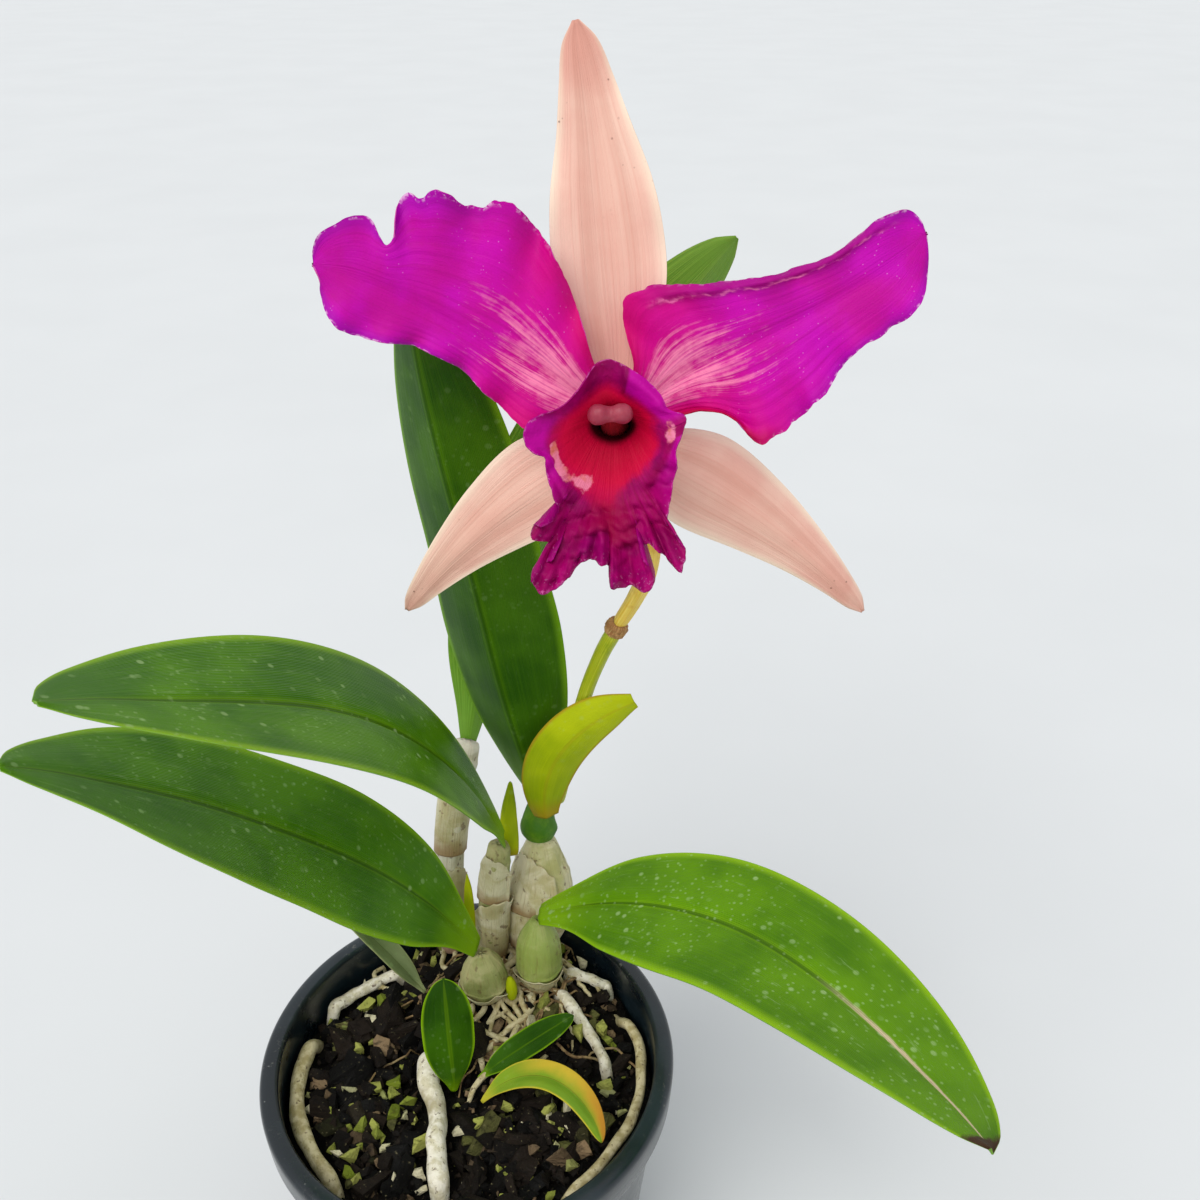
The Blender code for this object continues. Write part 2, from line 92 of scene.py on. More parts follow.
def wobble(seed, *axes, octaves=3):
    """Smooth noise between about -1 and 1 over any number of coordinates."""
    rng = np.random.default_rng(seed)
    total = np.zeros(np.broadcast(*axes).shape)
    size = 1.0
    for _ in range(octaves):
        for _ in range(3):
            turn = rng.normal(size=len(axes))
            turn /= np.linalg.norm(turn)
            phase = rng.uniform(0, 2 * pi)
            total = total + size / 3 * np.sin(sum(a * t for a, t in zip(axes, turn)) / size + phase)
        size /= 2
    return total


def soft(edge0, edge1, x):
    """0 before the first edge, 1 past the second, eased between them."""
    t = np.clip((x - edge0) / (edge1 - edge0), 0, 1)
    return t * t * (3 - 2 * t)


TILT = radians(78)  # the flower faces forward and a little up
FLOWER_AXES = np.array([[1, 0, 0], [0, cos(TILT), sin(TILT)], [0, -sin(TILT), cos(TILT)]])
FLOWER_CENTRE = np.array([40.0, 18.0, 268.0])


def in_flower(points):
    """From the flower's own frame (right, up, towards the viewer) to the pot's frame."""
    return points @ FLOWER_AXES + FLOWER_CENTRE


# ------------------------------------------------------------------ nodes
class Wire:
    """One output of a node; plain arithmetic on it adds Math nodes."""

    def __init__(self, plug):
        self.plug = plug

    def __add__(self, other):
        return maths("ADD", self, other)

    def __sub__(self, other):
        return maths("SUBTRACT", self, other)

    def __rsub__(self, other):
        return maths("SUBTRACT", other, self)

    def __mul__(self, other):
        return maths("MULTIPLY", self, other)

    def __abs__(self):
        return maths("ABSOLUTE", self)


def shader(name, roughness, specular, **settings):
    """A new material. The helpers below add their nodes to the newest one's tree."""
    global tree
    made = bpy.data.materials.new(name)
    made.use_nodes = True
    tree = made.node_tree
    main = tree.nodes["Principled BSDF"]
    main.inputs["Roughness"].default_value = roughness
    main.inputs["Specular IOR Level"].default_value = specular
    for key, value in settings.items():
        main.inputs[key.replace("_", " ")].default_value = value
    return made


def feed(plug, value):
    """Links a wire to the socket or sets a plain value on it; a colour is three sRGB bytes."""
    if isinstance(value, Wire):
        tree.links.new(value.plug, plug)
    elif plug.type == "RGBA":
        share = np.array(value) / 255
        linear = np.where(share <= 0.04045, share / 12.92, ((share + 0.055) / 1.055)**2.4)
        plug.default_value = (*linear.tolist(), 1.0)
    else:
        plug.default_value = value


def add(kind, props=None, out=0, **sockets):
    """A new node, fed by socket name or as i and a number; gives one of its outputs."""
    made = tree.nodes.new("ShaderNode" + kind)
    for key, value in (props or {}).items():
        setattr(made, key, value)
    for key, value in sockets.items():
        feed(made.inputs[int(key[1:]) if key[1:].isdigit() else key.replace("_", " ")], value)
    return Wire(made.outputs[out])


def maths(op, a, b=0.0, clamp=False):
    return add("Math", {"operation": op, "use_clamp": clamp}, i0=a, i1=b)


def ramp(x, low, high, a=0.0, b=1.0):
    props = {"interpolation_type": "SMOOTHSTEP", "clamp": True}
    return add("MapRange", props, Value=x, From_Min=low, From_Max=high, To_Min=a, To_Max=b)


def blend(share, a, b):
    return add("Mix", {"data_type": "RGBA"}, 2, i0=share, i6=a, i7=b)


def noise(vector, scale, detail=4.0, rough=0.55, distortion=0.0):
    return add("TexNoise", None, "Fac", Vector=vector, Scale=scale, Detail=detail, Roughness=rough,
               Distortion=distortion)


def stretch(vector, scale):
    return add("Mapping", Vector=vector, Scale=scale)


def spots(vector, scale, size):
    """1 inside round dots of the given size, with soft edges."""
    return ramp(add("TexVoronoi", None, "Distance", Vector=vector, Scale=scale), size * 1.35, size * 0.65)


def parts(vector):
    split = add("SeparateXYZ", Vector=vector).plug.node
    return [Wire(plug) for plug in split.outputs]


def surface():
    """UV, object position, and the two numbers of the UV: along the piece and across it."""
    coords = add("TexCoord").plug.node
    uv = Wire(coords.outputs["UV"])
    return uv, Wire(coords.outputs["Object"]), *parts(uv)[:2]


def patch_masks():
    """The three masks that a flower mesh carries in its patch attribute."""
    return parts(add("Attribute", {"attribute_name": "patch"}, "Vector"))


def dress(made, colour, height=None, strength=0.5, distance=0.0, rough=None):
    """Feeds the finished colour, roughness and relief into the material."""
    main = made.node_tree.nodes["Principled BSDF"]
    feed(main.inputs["Base Color"], colour)
    if rough is not None:
        feed(main.inputs["Roughness"], rough)
    if height is not None:
        feed(main.inputs["Normal"], add("Bump", Height=height, Strength=strength, Distance=distance))
    return made


# ------------------------------------------------------------------ materials
def leaf_skin(name, dark, light, edge, spotting=0.5, rough=0.36, veins=26.0, dried=False, turning=False,
              groove_shade=0.6):
    """Waxy leaf: long fine veins, pale midrib with a painted shade line down its groove, thin translucent
    edge, dried mineral spots.
    """
    made = shader(name, rough, 0.1, Coat_Weight=0.02, Coat_Roughness=0.25)
    uv, place, t, v = surface()
    s = abs(v * 2.0 - 1.0)
    broad = noise(place, 38.0, 3.0)
    colour = blend(ramp(broad, 0.35, 0.68), dark, light)
    long_noise = noise(stretch(uv, (2.2, veins * 2.2, 1.0)), 1.0, 3.0, 0.6)
    colour = blend(ramp(long_noise, 0.4, 0.75, 0.0, 0.42), colour, light)
    fine = add("TexWave", {"wave_type": "BANDS", "bands_direction": "Y"}, "Fac", Distortion=0.6, Detail=2.0,
               Vector=stretch(uv, (0.3, 1.0, 1.0)), Scale=veins, Detail_Scale=1.5)
    colour = blend(ramp(fine, 0.0, 1.0, 0.0, 0.06), colour, dark)
    colour = blend(ramp(s, 0.1, 0.03, 0.0, 0.22), colour, edge)
    # painted shade: a dark line down the sunk midrib groove
    colour = blend(ramp(s, 0.05, 0.012) * groove_shade, colour, (28, 66, 6))
    colour = blend(ramp(s, 0.86, 0.995, 0.0, 0.85), colour, edge)
    colour = blend(ramp(t, 0.16, 0.0, 0.0, 0.75), colour, edge)
    wet = ramp(noise(place, 60.0, 2.0), 0.42, 0.62)
    dots = spots(place, 230.0, 0.17) * wet
    small = spots(place, 520.0, 0.2) * ramp(broad, 0.4, 0.6)
    streak = ramp(noise(stretch(uv, (9.0, 17.0, 1.0)), 1.0, 5.0, 0.75), 0.59, 0.72)
    film = maths("ADD", dots + small * 0.6, streak * 0.6, clamp=True) * spotting
    colour = blend(film * 0.6, colour, (166, 196, 132))
    if turning:
        one_side = noise(place, 160.0, 3.0) * 0.4 + (0.8 - v)
        aged = ramp(one_side, 0.45, 0.9) * ramp(t, 0.2, 0.5)
        colour = blend(aged, colour, (206, 178, 54))
        colour = blend(aged * ramp(t, 0.55, 0.9), colour, (190, 134, 44))
    if dried:
        ragged = noise(place, 300.0, 4.0) * 0.05 + s
        line = ramp(ragged, 0.085, 0.045) * ramp(t, 0.6, 0.78)
        colour = blend(line, colour, (214, 196, 158))
        line = ramp(ragged, 0.035, 0.02) * ramp(t, 0.66, 0.9)
        colour = blend(line * 0.7, colour, (120, 88, 52))
        scorch = noise(place, 400.0, 3.0) * 0.02 + t
        colour = blend(ramp(scorch, 0.982, 0.992), colour, (70, 48, 30))
    height = fine * 0.25 + long_noise * 0.6 + noise(place, 900.0, 2.0) * 0.12
    return dress(made, colour, height, 0.5, 0.0006, film * 0.3 + rough)


def under_skin(name, colour_a, colour_b, rough=0.5, veins=30.0):
    """Matt underside with faint long veins."""
    made = shader(name, rough, 0.35, Subsurface_Weight=0.08, Subsurface_Scale=0.002)
    uv, place, _, v = surface()
    s = abs(v * 2.0 - 1.0)
    veined = noise(stretch(uv, (2.0, veins * 2, 1.0)), 1.0, 3.0, 0.6)
    colour = blend(ramp(veined, 0.35, 0.7), colour_a, colour_b)
    colour = blend(ramp(s, 0.06, 0.0, 0.0, 0.5), colour, colour_b)
    colour = blend(ramp(noise(place, 120.0, 4.0), 0.5, 0.8, 0.0, 0.3), colour, colour_b)
    return dress(made, colour, veined, 0.4, 0.0005)


def petal_skin(name):
    """Sparkling magenta, its sparkle painted as pale glints, with a painted highlight along a fold crest and
    painted shade beyond it: pale rays fan out of the base, crimson near it, pale fringe at the edge.
    """
    made = shader(name, 0.5, 0.12)
    uv, place, t, v = surface()
    s = abs(v * 2.0 - 1.0)
    patches = noise(place, 75.0, 4.0)
    colour = blend(ramp(patches, 0.35, 0.7), (186, 0, 142), (194, 0, 174))
    colour = blend(ramp(t, 0.6, 0.1, 0.0, 0.8), colour, (214, 0, 124))
    rays = noise(stretch(uv, (3.4, 34.0, 1.0)), 1.0, 5.0, 0.72)
    broad = noise(stretch(uv, (2.4, 13.0, 1.0)), 1.0, 3.0, 0.6)
    rays = rays * 0.6 + broad * 0.4
    broken = noise(place, 420.0, 3.0)
    rays = broken * 0.22 + (rays - 0.11)
    near = ramp(t, 0.88, 0.14) * ramp(s, 0.96, 0.3)
    level = 0.7 - near * 0.3
    ray_mask = maths("MULTIPLY", rays - level, 7.0, clamp=True)
    colour = blend(ray_mask * near, colour, (246, 134, 176))
    deep = ramp(noise(stretch(uv, (1.2, 36.0, 1.0)), 1.0, 3.0, 0.6), 0.5, 0.75, 0.0, 0.5)
    colour = blend(deep, colour, (168, 0, 124))
    # painted highlight: pale sparkle glints scattered over the petal
    painted_glints = spots(place, 900.0, 0.12) * ramp(patches, 0.5, 0.62)
    colour = blend(painted_glints * 0.4, colour, (240, 150, 220))
    crimson = ramp(t, 0.5, 0.05) * ramp(s, 0.55, 0.98)
    colour = blend(crimson * 0.7, colour, (200, 0, 84))
    violet = ramp(s, 0.78, 0.98) * ramp(t, 0.3, 0.65)
    colour = blend(violet * 0.6, colour, (150, 0, 158))
    flecks = ramp(noise(place, 800.0, 4.0), 0.5, 0.62)
    fringe = ramp(s, 0.955, 1.0) * flecks * ramp(t, 0.25, 0.5)
    colour = blend(fringe * 0.85, colour, (226, 176, 214))
    ridge_and_highlight, shade, rolled = patch_masks()
    # painted highlight along the crest of the fold, then painted shade on the folded strip beyond it
    colour = blend(ridge_and_highlight * ramp(broken, 0.44, 0.58, 0.1, 0.9), colour, (250, 128, 186))
    colour = blend(shade * 0.6, colour, (154, 0, 104))
    colour = blend(rolled * 0.8, colour, (168, 0, 40))
    return dress(made, colour, rays * 0.9 + noise(place, 2600.0, 2.0) * 0.12, 0.55, 0.0008)


def sepal_skin(name):
    """Peach satin with fine long veins, a deeper middle, two bands of painted shade down its grooves, cream
    edges and a few dark specks.
    """
    made = shader(name, 0.5, 0.25)
    uv, place, t, v = surface()
    s = abs(v * 2.0 - 1.0)
    broad = noise(place, 60.0, 3.0)
    colour = blend(ramp(broad, 0.35, 0.7), (240, 197, 178), (232, 178, 161))
    veins = noise(stretch(uv, (1.1, 30.0, 1.0)), 1.0, 3.0, 0.6)
    colour = blend(ramp(veins, 0.45, 0.75, 0.0, 0.4), colour, (224, 156, 138))
    middle = ramp(s, 0.6, 0.1) * ramp(t, 0.1, 0.4)
    colour = blend(middle * 0.3, colour, (214, 150, 132))
    # painted shade: two darker bands down the grooves either side of the middle
    for centre, share in ((0.32, 0.34), (0.72, 0.26)):
        band = abs(v - centre)
        colour = blend(ramp(band, 0.1, 0.01) * share, colour, (206, 142, 124))
    colour = blend(ramp(s, 0.74, 1.0, 0.0, 0.8), colour, (250, 228, 204))
    colour = blend(ramp(t, 0.14, 0.0, 0.0, 0.5), colour, (240, 205, 160))
    rosy = ramp(t, 0.7, 1.0) * ramp(broad, 0.3, 0.6)
    colour = blend(rosy * 0.4, colour, (206, 128, 112))
    specks = spots(place, 420.0, 0.1) * ramp(noise(place, 150.0), 0.5, 0.6) * ramp(t, 0.45, 0.8)
    colour = blend(specks * 0.7, colour, (110, 60, 50))
    return dress(made, colour, veins + noise(place, 2400.0, 2.0) * 0.12, 0.5, 0.0006)


def lip_skin(name, outer=False):
    """Velvet lip: crimson throat with two pale patches, purple side lobes, dark frilled edge."""
    made = shader(name, 0.5, 0.09)
    uv, place, _, out = surface()
    pale, channel, violet = patch_masks()
    across, _, high = parts(place)
    rays = noise(stretch(uv, (60.0, 2.0, 1.0)), 1.0, 4.0, 0.6)
    blotch = noise(place, 210.0, 4.0)
    colour = blend(ramp(rays, 0.35, 0.7), (142, 0, 78), (164, 0, 100))
    colour = blend(ramp(blotch, 0.44, 0.64, 0.0, 0.55), colour, (112, 0, 72))
    lobes = violet * ramp(high, 0.26, 0.2715, 0.25, 0.92)
    colour = blend(lobes, colour, (182, 0, 144))
    colour = blend(channel * 0.85, colour, (140, 0, 52))
    deep_out = blotch * 0.12 + (out - 0.06)
    fall = maths("MAXIMUM", 0.271 - high, 0.0)
    wedge = blotch * 0.006 + (abs(across - 0.0362) + fall * 0.85)
    throat = ramp(deep_out, 0.66, 0.42) * ramp(wedge, 0.0152, 0.0122)
    colour = blend(throat, colour, (198, 0, 58))
    shade = ramp(out, 0.5, 0.34) * ramp(rays, 0.3, 0.6, 0.6, 1.0)
    colour = blend(shade * 0.5, colour, (146, 0, 26))
    # painted shadow: near black deep in the throat, in the gap under the column and anther cap
    below = ramp(high, 0.2775, 0.2745)
    colour = blend(ramp(out, 0.31, 0.245) * below, colour, (46, 0, 8))
    frayed = noise(place, 520.0, 5.0, 0.7)
    wavy = frayed * 1.3 + (pale - 0.65)
    gold = blend(ramp(blotch, 0.44, 0.6), (240, 140, 170), (214, 116, 92))
    colour = blend(ramp(wavy, 0.34, 0.66, 0.0, 0.75), colour, gold)
    edge = ramp(out, 0.975, 1.0) * ramp(noise(place, 900.0), 0.5, 0.6)
    colour = blend(edge * 0.6, colour, (216, 110, 180))
    frost = ramp(noise(place, 1300.0, 3.0), 0.62, 0.68) * ramp(out, 0.88, 0.98)
    colour = blend(frost * 0.3, colour, (216, 150, 200))
    if outer:
        colour = blend(0.55, colour, (156, 0, 116))
    height = rays + noise(place, 1500.0, 2.0) * 0.3
    return dress(made, colour, height, 0.5, 0.0007)


def stem_skin(name, base, deep, pale, rough=0.45, grain=26.0, scars=0.0):
    """Smooth or ribbed stem: long streaks and patches of deeper and paler colour."""
    made = shader(name, rough, 0.4, Subsurface_Weight=0.1, Subsurface_Scale=0.002)
    uv, place, _, _ = surface()
    streaks = noise(stretch(uv, (2.0, grain, 1.0)), 1.0, 4.0, 0.65)
    patches = noise(place, 190.0, 4.0)
    colour = blend(ramp(streaks, 0.4, 0.68), base, pale)
    colour = blend(ramp(patches, 0.5, 0.74, 0.0, 0.6), colour, deep)
    if scars:
        marks = spots(place, 260.0, 0.2) * ramp(noise(place, 90.0), 0.45, 0.62)
        colour = blend(marks * scars, colour, (92, 58, 34))
    height = streaks + noise(place, 1100.0, 3.0) * 0.35
    return dress(made, colour, height, 0.5, 0.0006)


def bulb_skin(name, base, pale, brown, rough=0.5, papery=0.5):
    """Swollen stem under dry papery scales: long fibres, pale skin, brown torn patches."""
    made = shader(name, rough, 0.35, Subsurface_Weight=0.06, Subsurface_Scale=0.002)
    uv, place, t, _ = surface()
    fibres = noise(stretch(uv, (1.4, 34.0, 1.0)), 1.0, 5.0, 0.7)
    skin = noise(place, 120.0, 4.0, 0.6, 0.6)
    colour = blend(ramp(skin, 0.38, 0.62, 0.0, papery), base, pale)
    colour = blend(ramp(fibres, 0.52, 0.72, 0.0, 0.6), colour, brown)
    foot = noise(place, 220.0, 3.0) * 0.25 + t * -1.0
    colour = blend(ramp(foot, -0.16, 0.1, 0.0, 0.9), colour, brown)
    tears = ramp(noise(place, 340.0, 4.0), 0.6, 0.68) * papery
    colour = blend(tears * 0.8, colour, (98, 66, 42))
    height = fibres + skin * 0.6
    return dress(made, colour, height, 0.7, 0.0009)


def root_skin(name, deep, pale):
    """Spongy root skin with grey-green and brown stains."""
    made = shader(name, 0.72, 0.25)
    _, place, _, _ = surface()
    mottled = noise(place, 420.0, 4.0)
    colour = blend(ramp(mottled, 0.36, 0.62), deep, pale)
    stain = noise(place, 110.0, 4.0)
    colour = blend(ramp(stain, 0.52, 0.72, 0.0, 0.6), colour, (150, 138, 100))
    dirt = ramp(noise(place, 800.0, 3.0), 0.6, 0.7, 0.0, 0.75)
    colour = blend(dirt, colour, (86, 62, 42))
    return dress(made, colour, noise(place, 1300.0, 4.0), 0.6, 0.0005)


def bark_skin(name, moss=False):
    """Broken bark: each piece has its own tint, with grain, pores and pale broken faces."""
    made = shader(name, 0.82, 0.16)
    _, place, mine, other = surface()
    grain = noise(stretch(place, (1.0, 1.0, 3.2)), 420.0, 5.0, 0.65)
    if moss:
        colour = blend(mine, (112, 126, 34), (176, 178, 92))
        colour = blend(ramp(other, 0.55, 0.8), colour, (214, 206, 172))
        colour = blend(ramp(grain, 0.5, 0.72, 0.0, 0.7), colour, (70, 70, 28))
    else:
        colour = blend(ramp(mine, 0.1, 0.85), (6, 5, 4), (32, 24, 17))
        colour = blend(ramp(mine, 0.88, 0.99), colour, (146, 122, 92))
        colour = blend(ramp(other, 0.9, 0.98, 0.0, 0.7), colour, (118, 118, 64))
        colour = blend(ramp(grain, 0.46, 0.7, 0.0, 0.75), colour, (10, 8, 6))
    pale = ramp(noise(place, 900.0, 3.0), 0.64, 0.76, 0.0, 0.4)
    colour = blend(pale, colour, (160, 150, 112))
    rough = ramp(noise(place, 150.0, 3.0), 0.35, 0.65, 0.5, 0.92)
    return dress(made, colour, grain, 0.9, 0.0012, rough)


def pot_skin(name):
    """Black-green moulded plastic: faint flow lines, dull scuffs, dust and dried splashes."""
    made = shader(name, 0.3, 0.5, Coat_Weight=0.25, Coat_Roughness=0.12)
    _, place, _, _ = surface()
    cloudy = noise(place, 45.0, 4.0)
    colour = blend(ramp(cloudy, 0.35, 0.7), (12, 22, 28), (26, 39, 46))
    lines = noise(stretch(place, (30.0, 30.0, 700.0)), 1.0, 3.0)
    dust = ramp(noise(place, 620.0, 5.0, 0.7), 0.56, 0.72) * ramp(noise(place, 60.0), 0.42, 0.66)
    colour = blend(dust * 0.5, colour, (150, 148, 138))
    splash = spots(place, 420.0, 0.09) * ramp(noise(place, 80.0), 0.56, 0.66)
    colour = blend(splash * 0.6, colour, (170, 172, 168))
    rough = dust * 0.4 + ramp(cloudy, 0.3, 0.7, 0.24, 0.38)
    height = lines * 0.5 + noise(place, 1400.0, 3.0) * 0.35
    return dress(made, colour, height, 0.25, 0.0004, rough)


LEAF_EDGE = (140, 184, 14)
LEAF_TOP = leaf_skin("leaf_top", (62, 114, 2), (92, 148, 4), LEAF_EDGE, 0.6)
LEAF_SPOTTED = leaf_skin("leaf_spotted", (58, 108, 2), (88, 140, 4), LEAF_EDGE, 1.0)
LEAF_DRIED = leaf_skin("leaf_dried_tip", (66, 112, 2), (96, 144, 4), LEAF_EDGE, 1.0, dried=True)
LEAF_TALL = leaf_skin("leaf_tall_top", (36, 78, 2), (66, 110, 6), (112, 160, 14), 0.2, 0.45)
LEAF_YOUNG = leaf_skin("leaf_young", (30, 68, 2), (58, 102, 8), LEAF_EDGE, 0.25, groove_shade=0.25)
LEAF_UNDER = under_skin("leaf_under", (92, 142, 26), (128, 172, 52))
LEAF_PALE = leaf_skin("leaf_pale", (118, 138, 84), (160, 174, 124), (180, 188, 130), 0.7, 0.55)
LEAF_YELLOW = leaf_skin("leaf_yellow", (112, 152, 34), (150, 178, 48), (214, 196, 60), 0.3, 0.45,
                        turning=True)
SHEATH = leaf_skin("sheath_skin", (134, 158, 4), (186, 198, 16), (170, 134, 30), 0.2, 0.45, 18.0,
                   groove_shade=0.0)
SHEATH_IN = under_skin("sheath_inside", (150, 170, 14), (186, 196, 44))
PETAL = petal_skin("petal_skin")
PETAL_BACK = under_skin("petal_back", (186, 30, 146), (214, 96, 178))
SEPAL = sepal_skin("sepal_skin")
SEPAL_BACK = under_skin("sepal_back", (226, 178, 156), (240, 208, 180))
LIP = lip_skin("lip_skin")
LIP_OUT = lip_skin("lip_outside", outer=True)
CAP = stem_skin("cap_skin", (150, 42, 66), (130, 10, 44), (168, 70, 86), 0.5, 2.0)
COLUMN = stem_skin("column_skin", (134, 2, 20), (96, 0, 12), (160, 10, 30), 0.6)
STALK = stem_skin("stalk_skin", (164, 176, 14), (122, 150, 10), (198, 202, 56), 0.42)
PEDICEL = stem_skin("pedicel_skin", (236, 196, 66), (206, 150, 36), (250, 224, 120), 0.42)
HUB = stem_skin("hub_skin", (222, 150, 128), (214, 176, 84), (240, 190, 160), 0.45)
PETIOLE = stem_skin("petiole_skin", (62, 112, 4), (38, 82, 2), (96, 140, 16), 0.5, 4.0)
BRACT = stem_skin("bract_skin", (150, 104, 58), (84, 50, 26), (198, 160, 104), 0.8)
BULB_PAPER = bulb_skin("bulb_paper", (168, 166, 104), (208, 202, 160), (132, 106, 66), 0.5, 0.9)
BULB_GREEN = bulb_skin("bulb_green", (146, 162, 78), (178, 182, 116), (120, 104, 54), 0.42, 0.5)
BULB_KHAKI = bulb_skin("bulb_khaki", (142, 148, 84), (190, 182, 130), (112, 84, 48), 0.55, 0.7)
BULB_OLD = bulb_skin("bulb_old", (196, 190, 160), (226, 220, 200), (150, 112, 92), 0.65, 0.8)
PAPER = bulb_skin("dry_paper", (186, 176, 128), (220, 212, 180), (156, 126, 84), 0.6, 0.8)
ROOT = root_skin("root_skin", (206, 198, 168), (238, 232, 214))
ROOT_BEIGE = root_skin("root_beige", (168, 154, 108), (208, 196, 156))
ROOT_BROWN = root_skin("root_brown", (96, 74, 48), (150, 124, 84))
BARK = bark_skin("bark_skin")
MOSS = bark_skin("moss_skin", moss=True)
POT = pot_skin("pot_skin")


# ------------------------------------------------------------------ building pieces
def piece(name, verts, faces, skins, kinds, replaced, uv=None, sharp=None, masks=None):
    """One shown object riding on the pot. kinds gives each face its skin."""
    mesh = bpy.data.meshes.new(name)
    mesh.from_pydata((np.asarray(verts) * MM).tolist(), [], faces)
    for skin in skins:
        mesh.materials.append(skin)
    mesh.polygons.foreach_set("material_index", kinds)
    if uv is not None:
        layer = mesh.uv_layers.new(name="UVMap")
        corners = np.empty(len(mesh.loops), int)
        mesh.loops.foreach_get("vertex_index", corners)
        layer.data.foreach_set("uv", np.asarray(uv)[corners].ravel())
    if masks is not None:
        held = mesh.attributes.new("patch", "FLOAT_VECTOR", "POINT")
        held.data.foreach_set("vector", np.asarray(masks, float).ravel())
    if sharp is None:
        mesh.shade_smooth()
    else:
        mesh.shade_smooth()
        mesh.set_sharp_from_angle(angle=radians(sharp))
    thing = bpy.data.objects.new(name + "_fine" if name in frame["nodes"] else name, mesh)
    bpy.context.scene.collection.objects.link(thing)
    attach(thing, "root")
    if replaced:
        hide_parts(*replaced)
    return thing


def quads(rows, columns, start=0, flip=False):
    """Four-sided faces between the neighbours of a grid of points."""
    r, c = np.meshgrid(np.arange(rows - 1), np.arange(columns - 1), indexing="ij")
    a = start + r * columns + c
    made = np.stack([a, a + 1, a + 1 + columns, a + columns], -1).reshape(-1, 4)
    return made[:, ::-1] if flip else made


def sheet(name, grid, thick, uv, front_way, skins, replaced, masks=None):
    """Thin closed solid round a grid of points, first skin on the side facing front_way."""
    rows, columns = grid.shape[:2]
    normal = np.cross(np.gradient(grid, axis=1), np.gradient(grid, axis=0))
    normal /= np.maximum(np.linalg.norm(normal, axis=2, keepdims=True), 1e-9)
    flip = bool(np.sum(normal * front_way) < 0)
    if flip:
        normal = -normal
    lift = normal * (thick / 2)[..., None]
    verts = np.concatenate([(grid + lift).reshape(-1, 3), (grid - lift).reshape(-1, 3)])
    count = rows * columns
    front = quads(rows, columns, 0, flip)
    back = quads(rows, columns, count, not flip)
    rim = list(range(columns)) + [r * columns + columns - 1 for r in range(1, rows)]
    rim += [(rows - 1) * columns + c for c in range(columns - 2, -1, -1)]
    rim += [r * columns for r in range(rows - 2, 0, -1)]
    rim = np.array(rim)
    after = np.roll(rim, -1)
    band = np.stack([after, rim, rim + count, after + count], -1)
    if flip:
        band = band[:, ::-1]
    faces = np.concatenate([front, back, band]).tolist()
    kinds = [0] * len(front) + [1] * len(back) + [1] * len(band)
    doubled = np.concatenate([uv.reshape(-1, 2)] * 2)
    more = None if masks is None else np.concatenate([masks.reshape(-1, 3)] * 2)
    return piece(name, verts, faces, skins, kinds, replaced, doubled, masks=more)


LEAF_OUTLINE = [(0, 0.14), (0.08, 0.32), (0.2, 0.69), (0.35, 0.94), (0.5, 1.0),
                (0.65, 0.98), (0.8, 0.82), (0.92, 0.52), (0.975, 0.28), (1, 0.05)]
TALL_OUTLINE = [(0, 0.2), (0.08, 0.5), (0.2, 0.87), (0.35, 1.03), (0.5, 1.0),
                (0.65, 1.0), (0.8, 0.82), (0.92, 0.46), (0.975, 0.25), (1, 0.05)]
BROAD_TIP_OUTLINE = [(0, 0.14), (0.08, 0.32), (0.2, 0.69), (0.35, 0.93), (0.5, 1.0),
                     (0.65, 1.05), (0.8, 0.95), (0.92, 0.57), (0.975, 0.3), (1, 0.05)]
MIDRIB_STEPS = 240


